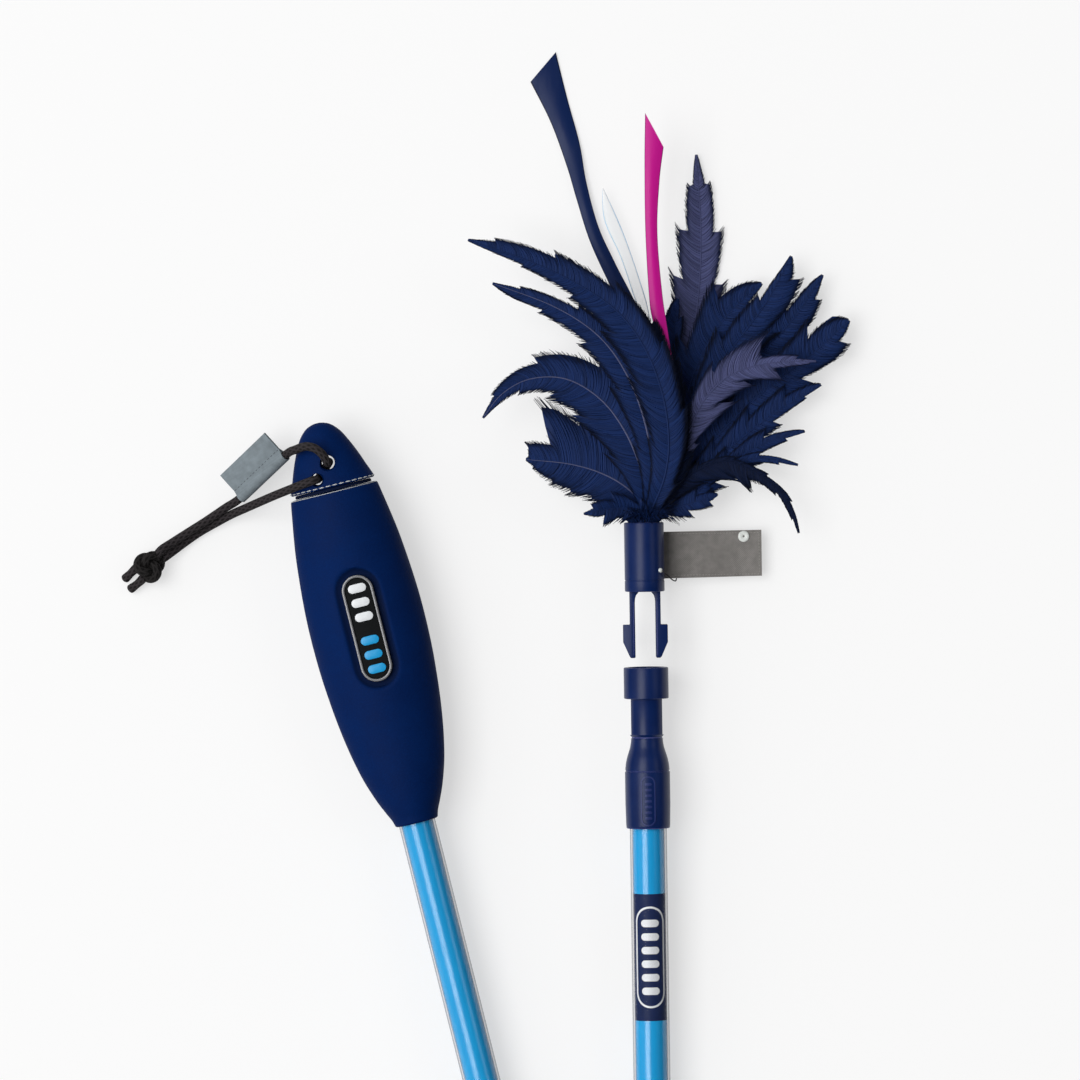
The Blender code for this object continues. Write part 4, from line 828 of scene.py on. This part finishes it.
ribs = framed_bars(RIB_FACE_R, (9.1, 11.4), ((2.45, -0.05), (2.42, 0.16), (2.2, 0.2), (1.98, 0.16), (1.95, -0.05)),
                   (1.6, 0.42, 8), ((1.0, -0.05), (0.95, 0.12), (0.3, 0.17)), np.linspace(3.6, 14.6, 7))
# Painted highlight: the raised ribs get a lighter copy of the navy plastic they are moulded in.
raised_plastic = moulded_look("raised_plastic", srgb(34, 46, 100), srgb(46, 58, 112), 0.36)
fitted(shape("socket_ribs", ribs, raised_plastic, sharp=60.0), "tip_section")


# Snap arms.
# Two moulded arms hang from the ferrule; each ends in a barb with a flat shoulder that catches under the
# socket's collar and a slope that lets it in.
ARM_HALF, ARM_ROUNDING = 2.2, 0.22
ARM_OUTLINE = [
    (5.02, 79.2), (5.02, 66.1), (7.05, 66.1), (7.24, 65.9), (7.24, 60.4), (5.2, 55.8), (4.8, 55.3),
    (3.6, 55.3), (3.31, 55.6), (3.31, 73.3), (3.2, 74.6), (2.85, 75.7), (2.15, 76.5), (2.15, 79.2),
]
for name, side in (("snap_arm_right", 1.0), ("snap_arm_left", -1.0)):
    arm = prism(name + "_moulding", [(side * u, v) for u, v in ARM_OUTLINE], -ARM_HALF, ARM_HALF,
                navy_plastic, highlight_plastic)
    rounding = arm.modifiers.new("round", "BEVEL")
    rounding.width, rounding.segments, rounding.limit_method = ARM_ROUNDING * MM, 3, "ANGLE"
    rounding.angle_limit = math.radians(50.0)
    arm_mesh = evaluated_mesh(arm)
    arm.modifiers.clear()
    arm.data = arm_mesh
    shade_smooth(arm_mesh, 50.0)
    fitted(arm, name, name)
    near, far = sorted((side * 3.78, side * 3.92))
    # A thin ridge down the arm's inner edge, in the lighter plastic as a painted highlight.
    fitted(prism(name + "_rib", rectangle(near, 56.2, far, 73.6), -ARM_HALF - 0.05, ARM_HALF + 0.05, highlight_plastic),
           name)


# Ferrule.
# The head's moulded cup: a closed bottom that carries the arms, and an open mouth that grips the quills
# and ribbon tails.
FERRULE_BOTTOM, FERRULE_TOP, FERRULE_R, FERRULE_BORE_R, FERRULE_FLOOR = 76.8, 99.2, 6.45, 5.45, 79.9
cup = [(0.3, FERRULE_BOTTOM)] + steps(FERRULE_R, FERRULE_BOTTOM, (-0.35, 0.0), (-0.1, 0.1), (0.0, 0.35))
cup += steps(FERRULE_R, 80.2, (0.0, 0.0), (-0.14, 0.12), (-0.14, 0.4), (0.0, 0.52))
cup += steps(FERRULE_R, FERRULE_TOP, (0.0, -0.35), (-0.1, -0.1), (-0.3, 0.0))
cup += steps(FERRULE_BORE_R, FERRULE_TOP, (0.2, 0.0), (0.0, -0.3)) + [(FERRULE_BORE_R, FERRULE_FLOOR), (0.3, FERRULE_FLOOR)]
solid = lathe(cup, TIP, SEGMENTS)
# Two narrow rows of faces take the lighter plastic as painted highlight lines on the ferrule's edges.
ferrule = shape("ferrule_moulding", solid, navy_plastic, highlight_plastic,
                face_slots=[int(i // SEGMENTS in (1, 9)) for i in range(len(solid[1]))])
cut_away(ferrule, [prism("root_tool", rectangle(near, -ARM_HALF - 0.2, far, ARM_HALF + 0.2), 75.0, 79.6, upright=True)
                   for near, far in ((1.75, 5.4), (-5.4, -1.75))])
fitted(ferrule, "head", "head_ferrule")


# Tag, eyelet, pin and thread.
# A grey woven tag is tucked behind the ferrule and held by a fine thread through a pin. A small pale
# pressed eyelet sits near its far corner.
EYELET_SPOT, PIN_ANGLE, PIN_V = (32.6, 94.0), math.radians(40.0), 83.7
EYELET_PROFILE = [(0.35, 0.0), (1.8, 0.0), (1.85, 0.12), (1.75, 0.3), (1.4, 0.45), (0.9, 0.42), (0.55, 0.3), (0.35, 0.2)]
PIN_PROFILE = [(0.72, -0.1), (0.75, 0.25), (0.62, 0.5), (0.35, 0.66), (0.1, 0.7)]
THREAD_ROUTE = [(5.7, 83.4, 4.6), (6.15, 83.0, 4.75), (7.6, 81.8, 2.0), (8.9, 80.5, -2.0), (10.1, 79.9, -5.6),
                (10.5, 80.6, -7.0)]


def on_tag(u, v, proud=0.0):
    """A point over the tag's middle, which lies behind the section's centre line and sags to its free end."""
    sag = -7.1 - 2.0 * min(1.0, max(0.0, (u - 5.0) / 26.0)) ** 2
    return u, v, sag + 0.10 * math.sin(0.35 * u) * math.sin(0.4 * (v - 80.0)) + proud


def thin_ring(middle, half):
    """A ring round one cut through a thin sheet, from points along its middle."""
    return placed(TIP, [(u, v, w + half) for u, v, w in middle] + [(u, v, w - half) for u, v, w in middle[::-1]])


tag_rings = []
for u in np.linspace(-4.5, 38.4, 60):
    slant = 0.012 * (u - 6.6)
    tag_rings.append(thin_ring([on_tag(u, v) for v in np.linspace(80.7 + slant, 95.9 + slant * 0.4, 14)], 0.16))
tag_look = woven_look("woven_tag", srgb(130, 127, 124), 0.32, TIP)
tag = fitted(shape("woven_head_tag", skin(tag_rings), tag_look, sharp=50.0), "head", "head_tag")

selvedge = mottled("selvedge_thread", (150, 147, 143), (128, 125, 121), (168, 165, 160), 2000.0, 2.0, 0.75,
                   Sheen_Weight=0.2)
border = [(u, 95.2) for u in np.linspace(8.2, 37.4, 40)] + [(37.6, v) for v in np.linspace(94.9, 82.0, 20)]
border += [(u, 81.7) for u in np.linspace(37.4, 8.2, 40)]
fitted(stitched("tag_border", placed(TIP, [on_tag(u, v, 0.18) for u, v in border]), selvedge, 1.0, 0.85, 0.26),
       "head")

pale = mottled("pale_plastic", (226, 230, 226), (214, 219, 214), (238, 241, 238), 900.0, 3.0, 0.4)
u, v, w = on_tag(*EYELET_SPOT, 0.2)
eyelet_rings = [placed(TIP, [(u + r * math.cos(a), v + r * math.sin(a), w + h) for a in angles(40)])
                for r, h in EYELET_PROFILE]
fitted(shape("tag_eyelet_ring", skin(eyelet_rings, True), pale, sharp=60.0), "head", "tag_eyelet")

pin_rings = []
for r, h in PIN_PROFILE:
    out, spots = FERRULE_R + 0.05 + h, [(r * math.cos(a), r * math.sin(a)) for a in angles(24)]
    pin_rings.append(placed(TIP, [(out * math.cos(PIN_ANGLE) - x * math.sin(PIN_ANGLE), PIN_V + y,
                                   out * math.sin(PIN_ANGLE) + x * math.cos(PIN_ANGLE)) for x, y in spots]))
fitted(shape("tag_pin_head", skin(pin_rings), pale, sharp=60.0), "head", "tag_pin")

dark_thread = braid_look("dark_thread", srgb(60, 58, 62), 3.0, 0.8, 0.04)
fitted(tube_mesh("tag_dark_thread", curve_through(placed(TIP, THREAD_ROUTE), 60), 0.2 * MM, 8, dark_thread),
       "head", "tag_thread")


# Feathers.
# Turkey and marabou feathers dyed navy and grey-purple, their quills gathered in the ferrule. Every barb is
# its own strand, grown from the shaft by Geometry Nodes over a thin web; barbs gather in pointed clumps.
# Feathers lie in layers, back to front, that fan out from the ferrule's bore without crossing.
LAYERS = [
    "feather_grey_back", "ribbon_navy", "ribbon_clear", "feather_centre", "feather_right_a",
    "feather_right_c", "feather_right_b", "feather_right_d", "feather_right_e", "feather_right_f",
    "feather_right_g", "down_right", "feather_strand", "feather_grey_front", "ribbon_magenta",
    "feather_left_back", "feather_left_d", "feather_left_c", "feather_left_b", "feather_left_a", "down_left",
]
FINE, BARB_PITCH, LEAST_WIDTH = 480, 0.30, 0.35
QUILL_PLACES, WEB_PLACES = (-0.45, -0.22, -0.11, 0.0, 0.11, 0.22, 0.45), (-1.0, -0.6, -0.3, 0.0, 0.3, 0.6, 1.0)
WEB_SHARE, WEB_HALF = 0.86, 0.06


def tip_uv(point):
    """A grid point in mm in the tip section's own frame."""
    dx, dy = (point[0] - TIP_SPOT[0]) * GRID / MM, (TIP_SPOT[1] - point[1]) * GRID / MM
    c, s = math.cos(TIP_LEAN), math.sin(TIP_LEAN)
    return c * dx + s * dy, -s * dx + c * dy


def reach_of(u, v):
    """How far a point lies beyond the ferrule's mouth."""
    if abs(u) < 5.2 and v < FERRULE_TOP:
        return 0.0
    return math.hypot(max(0.0, v - FERRULE_TOP - 0.2), max(0.0, abs(u) - 3.0))


def layer_height(name, u, v):
    """Height of a piece's layer over a point: close in the ferrule, fanned out and lowered beyond it."""
    r = reach_of(u, v)
    pitch = 0.46 + 0.50 * ease(r / 15.0) + 0.28 * ease((r - 10.0) / 40.0)
    return (LAYERS.index(name) - 0.5 * (len(LAYERS) - 1)) * pitch - 2.55 * ease((r - 6.0) / 45.0)


def feather_look(name, colour, edge):
    """Dyed barbs: darker towards their tips, each a little different, with a soft sheen."""
    look = Look(name, colour, 0.6, Specular_IOR_Level=0.15)
    tone = look.blend(look.ramp(look.attribute("reach"), 0.6, 0.9), colour, edge)
    level = look.maths("MULTIPLY", look.ramp(look.attribute("shade"), 0.0, 1.0, 0.74, 1.26, "LINEAR"),
                       look.ramp(look.noise(1600.0, 2.0), 0.3, 0.7, 0.9, 1.1, "LINEAR"))
    return look.feed(Base_Color=look.shaded(tone, level))


navy_barbs = feather_look("navy_barbs", srgb(20, 42, 90), srgb(2, 12, 38))
# Deep navy: the real colour of the dark strand, and painted shadow on the back left feather.
strand_and_shadow_barbs = feather_look("deep_navy_barbs", srgb(7, 22, 54), srgb(2, 11, 34))
grey_barbs = feather_look("grey_barbs", srgb(76, 81, 122), srgb(6, 18, 50))
pale_shaft = mottled("feather_shaft", (70, 76, 112), (52, 60, 98), (88, 92, 128), 500.0, 3.0, 0.45)
draw = np.random.default_rng(7)


def barb_tree():
    """Geometry Nodes: turns strands drawn as edges into flat tapering barbs."""
    group, given = new_group("barbs", {"Barb width": 0.2 * MM, "Tip share": 0.25, "Flatness": 0.45,
                                       "Barb material": None})
    strand = group.add("GeometryNodeMeshToCurve", Mesh=given["Geometry"])
    along = group.add("GeometryNodeInputNamedAttribute", "Attribute", {"data_type": "FLOAT"}, Name="reach")
    slim = group.ramp(group.maths("POWER", along, 1.6), 0.0, 1.0, 1.0, given["Tip share"], "LINEAR")
    upright = group.add("GeometryNodeSetCurveNormal", 0, {"mode": "Z_UP"}, Curve=strand)
    ring = group.add("GeometryNodeCurvePrimitiveCircle", "Curve", Resolution=4, Radius=1.0)
    flat = group.add("ShaderNodeCombineXYZ", X=1.0, Y=given["Flatness"], Z=1.0)
    barbs = group.add("GeometryNodeCurveToMesh", Curve=upright, Fill_Caps=True,
                      Profile_Curve=group.add("GeometryNodeTransform", Geometry=ring, Scale=flat),
                      Scale=group.maths("MULTIPLY", slim, given["Barb width"]))
    return end_group(group, barbs, given["Barb material"])


barbs_of = barb_tree()


def curved(root, middle, end, s):
    """A point at share s of the arc from root to end that leans towards middle."""
    return root * (1.0 - s) ** 2 + middle * 2.0 * s * (1.0 - s) + end * s ** 2


def barbs_along(name, arcs, width, tip_share, flatness, mat):
    """Barbs grown over arcs, each a list of points with the barb's own shade; all arcs are of one length."""
    count = len(arcs[0][0])
    mesh = bpy.data.meshes.new(name + "_strands")
    mesh.from_pydata([tuple(p) for points, _ in arcs for p in placed(TIP, points)],
                     [(i * count + j, i * count + j + 1) for i in range(len(arcs)) for j in range(count - 1)], [])
    painted(mesh, reach=list(np.linspace(0.0, 1.0, count)) * len(arcs),
            shade=[shade for _, shade in arcs for _ in range(count)])
    values = {"Barb width": width * MM, "Tip share": tip_share, "Flatness": flatness, "Barb material": mat}
    return grown(name, new_object(name + "_strands", mesh), barbs_of, values, mat)


def feather(name, quill_u, line, left, right, clumps=5, notch=0.32, sweep=0.8, mat=navy_barbs, shaft_mat=None,
            fuller=1.22, lag=(0.0, 0.5)):
    """One feather: a curved shaft, a thin web and strands of barbs leaning to the tip on both sides."""
    fine = curve_through([(quill_u, v) for v in (86.0, 93.0, 99.0)] + [tip_uv(p) for p in line], FINE + 1)
    ahead = np.gradient(fine, axis=0)
    ahead /= np.linalg.norm(ahead, axis=1)[:, None]
    across = np.column_stack([ahead[:, 1], -ahead[:, 0]])
    start = int(np.argmax(fine[:, 1] > FERRULE_TOP + 1.2))
    span, count = FINE - 2 - start, 2 * clumps
    number = max(12, int(span * (distances(fine)[-1] / FINE) / BARB_PITCH))
    tables, notches = [np.array(table).T for table in (left, right)], notch if isinstance(notch, tuple) else (notch, notch)

    def half_width(t, sign):
        """Width of one side at share t with its clumps' notches, where it is in its clump, and its full width."""
        base = np.interp(t, *tables[sign]) * GRID / MM
        base *= 1.0 + (fuller - 1.0) * min(1.0, (1.0 - t) / 0.14)
        phase = (0.5 * t * count + lag[sign]) % 1.0
        return max(LEAST_WIDTH, base * (1.0 - notches[sign] * (1.0 - phase))), phase, max(LEAST_WIDTH, base)

    arcs = []
    for sign, side in ((0, -1.0), (1, 1.0)):
        for k in range(number):
            t = min(0.995, max(0.0, (k + draw.uniform(-0.5, 0.5)) / number))
            width, phase, _ = half_width(t, sign)
            width *= draw.uniform(0.93, 1.04)
            if draw.random() < 0.05:
                width *= draw.uniform(1.02, 1.12)
            i = start + t * span
            low = int(i)
            root = fine[low] + (fine[min(low + 1, FINE)] - fine[low]) * (i - low)
            out_dir, up_dir, bend = across[low] * side, ahead[low], draw.uniform(0.9, 1.1)
            clump_end = min(0.997, t + (1.0 - phase) * 2.0 / count)
            mark = int(start + clump_end * span)
            peak = half_width(clump_end - 0.001, sign)[2]
            spike = fine[mark] + across[mark] * side * peak + ahead[mark] * peak * sweep
            end = root + out_dir * width + up_dir * width * sweep * bend
            end = end + (spike - end) * (0.46 + 0.32 * ease((t - 0.78) / 0.2)) * phase
            middle = root + out_dir * width * 0.58 + up_dir * width * 0.22 * sweep
            rise, shade, points = draw.uniform(-0.10, 0.14), draw.uniform(0.0, 1.0), []
            for s in np.linspace(0.0, 1.0, 7):
                u, v = curved(root, middle, end, s)
                lift = 0.16 + rise * s + 0.35 * math.sin(math.pi * s) * min(1.0, width / 6.0)
                points.append((u, v, layer_height(name, u, v) + lift))
            arcs.append((points, shade))
    barbs = barbs_along(name + "_barbs", arcs, 0.25, 0.22, 0.4, mat)

    rows = [[fine[mark] + across[mark] * s for s in QUILL_PLACES] for mark in (0, start // 2, start - 2)]
    for t in np.concatenate([np.linspace(k / count + 0.002, (k + 1) / count - 0.002, 5) for k in range(count)]):
        mark = int(start + t * span)
        rows.append([])
        for s in WEB_PLACES:
            width = half_width(t, int(s >= 0.0))[0] * WEB_SHARE
            rows[-1].append(fine[mark] + across[mark] * s * width + ahead[mark] * width * sweep * abs(s) ** 1.35)
    rings = [thin_ring([(u, v, layer_height(name, u, v)) for u, v in row], WEB_HALF) for row in rows]
    web = shape(name + "_web", skin(rings), mat, sharp=180.0)
    painted(web.data, reach=[0.6 * abs(s) for s in WEB_PLACES] * 2 * len(rings), shade=0.25)

    spine = placed(TIP, [(u, v, layer_height(name, u, v) + 0.30) for u, v in fine[:476:5]])
    shaft = tube_mesh(name + "_shaft", spine, lambda t: (0.42 - 0.32 * t) * MM, 8, shaft_mat or mat)
    painted(shaft.data, reach=0.2, shade=0.3)
    parts = [barbs, web, shaft]
    with bpy.context.temp_override(active_object=barbs, object=barbs, selected_objects=parts,
                                   selected_editable_objects=parts):
        bpy.ops.object.join()
    barbs.name = name + "_plume"
    fitted(barbs, "head", name)


feather("feather_left_a", 1.3,
        [(652, 508), (664, 476), (668, 440), (662, 395), (645, 350), (618, 313), (580, 286), (530, 262), (466, 240)],
        [(0, 6), (0.15, 19), (0.35, 26), (0.5, 24), (0.62, 17), (0.75, 9.5), (0.9, 5), (1, 1)],
        [(0, 6), (0.15, 16), (0.3, 18), (0.5, 18), (0.65, 18), (0.8, 15), (0.92, 9), (1, 1)], 6, 0.22)
feather("feather_left_b", 0.0,
        [(649, 508), (652, 470), (645, 425), (628, 378), (600, 338), (556, 308), (491, 283)],
        [(0, 6), (0.2, 15), (0.4, 19), (0.6, 18), (0.75, 11), (0.9, 9), (1, 1)],
        [(0, 6), (0.3, 14), (0.6, 15), (0.8, 9), (0.92, 5), (1, 1)], 5, 0.3, shaft_mat=pale_shaft)
feather("feather_left_c", -1.4,
        [(646, 508), (642, 474), (625, 432), (600, 399), (566, 379), (530, 379), (502, 394), (482, 419)],
        [(0, 6), (0.2, 26), (0.4, 34), (0.55, 26), (0.7, 14), (0.9, 5), (1, 1)],
        [(0, 5), (0.2, 20), (0.38, 32), (0.5, 31), (0.62, 23), (0.8, 12), (0.93, 4), (1, 1)], 5, 0.28, shaft_mat=pale_shaft)
feather("feather_left_d", -1.4,
        [(644, 510), (632, 492), (606, 475), (571, 464), (525, 459)],
        [(0, 14), (0.2, 27), (0.45, 29), (0.6, 25), (0.78, 17), (0.92, 7), (1, 1)],
        [(0, 8), (0.2, 26), (0.35, 40), (0.55, 56), (0.65, 57), (0.75, 50), (0.765, 23), (0.95, 16), (0.965, 6), (1, 1)],
        5, (0.12, 0.35), 0.62, shaft_mat=pale_shaft, lag=(0.4, 0.25))
# Painted shadow: this back feather is a deeper navy so that its edge, showing past feather_left_a, stands in for the
# shadow line between the left and right feathers.
feather("feather_left_back", 1.3,
        [(655, 508), (669, 476), (673, 440), (668, 396), (652, 348), (626, 309), (606, 286)],
        [(0, 8), (0.3, 18), (0.7, 17), (0.9, 10), (1, 2)],
        [(0, 9), (0.2, 17), (0.5, 18), (0.8, 14), (0.93, 8), (1, 2)], 6, 0.25, 0.7, strand_and_shadow_barbs)
feather("down_left", -1.0,
        [(642, 512), (628, 507), (606, 508), (583, 513)],
        [(0, 6), (0.3, 14), (0.6, 17), (0.8, 9), (0.9, 4), (1, 1)],
        [(0, 6), (0.3, 15), (0.6, 14), (0.8, 8), (0.9, 3.5), (1, 1)], 3, 0.6, 0.35)
feather("feather_right_a", -0.8,
        [(652, 508), (670, 464), (684, 410), (700, 360), (728, 315), (764, 282)],
        [(0, 6), (0.2, 14), (0.5, 25), (0.8, 28), (0.92, 15), (1, 1)],
        [(0, 6), (0.3, 16), (0.6, 20), (0.85, 15), (1, 1)], 5, 0.45)
feather("feather_right_b", 0.6,
        [(654, 508), (676, 460), (700, 405), (732, 350), (767, 302), (792.5, 254)],
        [(0, 6), (0.3, 18), (0.6, 22), (0.8, 11), (0.92, 4), (1, 1)],
        [(0, 6), (0.3, 18), (0.6, 24), (0.8, 24), (0.92, 17), (1, 1)], 5, 0.42)
feather("feather_right_c", -0.2,
        [(656, 508), (684, 462), (715, 410), (753, 362), (794, 319), (824.5, 273)],
        [(0, 6), (0.3, 20), (0.6, 24), (0.8, 17), (0.92, 9), (1, 1)],
        [(0, 6), (0.3, 20), (0.6, 25), (0.8, 19), (0.92, 9), (1, 1)], 5, 0.42)
feather("feather_right_d", 1.2,
        [(658, 508), (690, 470), (728, 425), (772, 385), (815, 352), (851, 319)],
        [(0, 6), (0.3, 20), (0.6, 24), (0.82, 27), (0.93, 18), (1, 1)],
        [(0, 6), (0.3, 20), (0.6, 24), (0.82, 22), (0.93, 13), (1, 1)], 5, 0.48)
feather("feather_right_e", 0.2,
        [(659, 510), (692, 480), (730, 448), (775, 413), (822.6, 384)],
        [(0, 6), (0.3, 18), (0.6, 24), (0.8, 19), (0.93, 10), (1, 1)],
        [(0, 6), (0.3, 18), (0.6, 20), (0.8, 8), (0.93, 3), (1, 1)], 5, 0.5, fuller=1.0)
feather("feather_right_f", 1.6,
        [(660, 512), (692, 490), (728, 465), (765, 443), (806, 431)],
        [(0, 6), (0.3, 16), (0.6, 19), (0.8, 12), (0.93, 6), (1, 1)],
        [(0, 6), (0.3, 18), (0.6, 19), (0.8, 8), (0.93, 3), (1, 1)], 4, 0.58, fuller=1.0)
feather("feather_right_g", 0.4,
        [(660, 513), (690, 497), (722, 470), (758, 458), (799, 465)],
        [(0, 4), (0.3, 9), (0.6, 9), (0.85, 6), (1, 1)],
        [(0, 4), (0.3, 10), (0.6, 9), (0.85, 5), (1, 1)], 4, 0.5, fuller=0.9)
feather("down_right", 1.6,
        [(660, 512), (677, 507), (697, 501), (718, 494)],
        [(0, 5), (0.3, 13), (0.6, 13), (0.85, 7), (1, 1)],
        [(0, 5), (0.3, 12), (0.6, 13), (0.85, 8), (1, 1)], 3, 0.55, 0.45)
feather("feather_strand", 0.6,
        [(658, 508), (688, 476), (723, 461), (753, 471), (778, 489), (791, 509), (799, 534)],
        [(0, 3), (0.3, 6), (0.5, 5), (0.75, 4.5), (0.9, 3), (1, 1)],
        [(0, 3), (0.25, 15), (0.4, 25), (0.5, 26), (0.58, 15), (0.65, 7), (0.9, 3.5), (1, 1)], 6, 0.4, 0.9, strand_and_shadow_barbs)
feather("feather_centre", 1.0,
        [(655, 508), (664, 460), (668, 400), (672, 350), (679, 297)],
        [(0, 5), (0.3, 12), (0.6, 16), (0.85, 16), (0.95, 8), (1, 1)],
        [(0, 5), (0.3, 12), (0.6, 14), (0.85, 9), (1, 1)], 5, 0.45, 0.9)
feather("feather_grey_back", 0.0,
        [(654, 508), (668, 460), (684, 400), (693, 340), (700, 290), (702, 230), (697, 151)],
        [(0, 5), (0.3, 16), (0.5, 23), (0.68, 22), (0.8, 15), (0.92, 7), (1, 1)],
        [(0, 5), (0.3, 14), (0.5, 20), (0.68, 18), (0.8, 14), (0.92, 8), (1, 1)], 7, 0.42, 0.8, grey_barbs,
        fuller=1.5, lag=(0.69, 0.69))
feather("feather_grey_front", 1.4,
        [(662, 504), (676, 470), (688, 434), (704, 400), (732, 374), (772, 363), (817, 361)],
        [(0, 3), (0.2, 4), (0.35, 10), (0.5, 15), (0.578, 16), (0.59, 24), (0.745, 25), (0.76, 11), (0.92, 5), (1, 1)],
        [(0, 3), (0.2, 4), (0.3, 12), (0.467, 27), (0.48, 21), (0.633, 19), (0.65, 17), (0.8, 16), (0.815, 9),
         (0.93, 4), (1, 1)], 6, 0.5, 0.9, grey_barbs, fuller=1.3, lag=(0.53, 0.2))


# Base down.
# Short marabou barbs stand all round the ferrule's mouth and spill over its rim, where the quills of the
# outer feathers were left unstripped. Geometry Nodes turn them into strands as on the feathers.
DOWN_BARBS, RIM_OVERHANG = 900, 1.3
down_arcs = []
for k in range(DOWN_BARBS):
    angle = draw.uniform(0.0, 2.0 * math.pi)
    out = np.array((math.cos(angle), 0.0, math.sin(angle)))
    length = draw.uniform(4.0, 11.0) * (1.0 - 0.45 * abs(out[2]))
    curl = draw.random() ** 1.5
    root = out * draw.uniform(2.4, 4.9) + np.array((0.0, FERRULE_TOP + draw.uniform(-0.1, 1.6), 0.0))
    top = root + out * length * 0.45 + np.array((0.0, length * 0.42 + 0.8, 0.0))
    end = root + out * length * (0.9 + 0.15 * curl) + np.array((0.0, length * (0.75 - 1.05 * curl) + 0.9, 0.0))
    end[1] = max(end[1], FERRULE_TOP - RIM_OVERHANG)
    down_arcs.append(([curved(root, top, end, s) for s in np.linspace(0.0, 1.0, 6)], draw.uniform(0.0, 1.0)))
fitted(barbs_along("base_down", down_arcs, 0.2, 0.2, 0.5, navy_barbs), "head")


# Ribbons.
# Three strips of thin film gathered in the ferrule: a wide navy one, a clear one with pale blue edges and
# a shiny magenta one. Each bows a little across its width and is cut on a slant at its end.
FILM_HALF = 0.05
FILM_PLACES = (0.0, 0.07, 0.15, 0.3, 0.5, 0.7, 0.85, 0.93, 1.0)


def film_look(name, colour, edge_colour, roughness=0.34, edge_from=0.86, **sockets):
    """Thin plastic film: faint creases along it, and an edge of another tone."""
    look = Look(name, colour, roughness, **sockets)
    crease = look.noise(55.0, 3.0, Vector=look.place(Scale=(3.0, 0.7, 1.0)))
    edge = look.ramp(look.attribute("edge"), edge_from, 1.0)
    look.bump(crease, 0.35, 0.4)
    look.feed(Base_Color=look.blend(edge, colour, edge_colour),
              Roughness=look.ramp(crease, 0.3, 0.7, roughness - 0.06, roughness + 0.1))
    return look


def ribbon(name, foot, left, right, look, lift, bow=0.5):
    """A strip between two drawn edges that meet the foot in the ferrule; lift says how it leaves its layer."""
    left, right = [curve_through([tip_uv(p) for p in edge] + [(foot + side, 99.0), (foot + side, 92.0)], 401)
                   for edge, side in ((left, -1.1), (right, 1.1))]
    rings = []
    for i in range(0, 401, 4):
        r, middle = reach_of(*left[i]), []
        for s in FILM_PLACES:
            u, v = left[i] + (right[i] - left[i]) * s
            arch = bow * math.sin(math.pi * s) * ease((r - 10.0) / 30.0)
            middle.append((u, v, layer_height(name, u, v) + lift(reach_of(u, v)) + arch))
        rings.append(thin_ring(middle, FILM_HALF))
    strip = shape(name + "_film", skin(rings), look.mat, sharp=60.0)
    across = [abs(2.0 * s - 1.0) for s in FILM_PLACES]
    painted(strip.data, edge=(across + across[::-1]) * len(rings))
    fitted(strip, "head", name)


navy_film = film_look("navy_film", srgb(16, 36, 82), srgb(3, 15, 44), Specular_IOR_Level=0.16)
magenta_film = film_look("magenta_film", srgb(196, 20, 140), srgb(70, 20, 80), edge_from=0.9, Specular_IOR_Level=0.15)
clear_film = film_look("clear_film", (0.86, 0.94, 0.98), srgb(40, 150, 205), 0.15, IOR=1.3)
clear_film.feed(Alpha=clear_film.ramp(clear_film.attribute("edge"), 0.78, 0.9, 0.14, 1.0))
ribbon("ribbon_navy", -0.8,
       [(530.5, 80), (551, 121), (567, 165), (577, 199), (590, 240), (609, 282), (632, 330), (645, 380), (645, 440),
        (641, 498)],
       [(556, 50), (568, 98), (580, 142), (587, 182), (599, 226), (616, 263), (640, 312), (655, 370), (654, 440),
        (649, 498)],
       navy_film, lambda r: -3.45 * ease((r - 88.0) / 60.0))
ribbon("ribbon_clear", 0.9,
       [(602.4, 188), (605, 220), (621, 256), (633, 292), (645, 330), (650, 400), (649, 450), (645, 498)],
       [(603.6, 187), (622.5, 229), (639, 275.5), (650, 315), (658, 380), (658, 440), (651, 498)],
       clear_film, lambda r: 0.0, 0.3)
ribbon("ribbon_magenta", 0.6,
       [(644.5, 114), (644, 165), (645, 233), (649, 300), (653, 324), (664, 380), (663, 430), (653, 475), (645, 500)],
       [(663, 148), (659, 182), (657, 233), (662, 294), (668, 334), (675, 385), (671, 435), (661, 478), (651, 500)],
       magenta_film, lambda r: 3.0 * ease((r - 70.0) / 70.0))
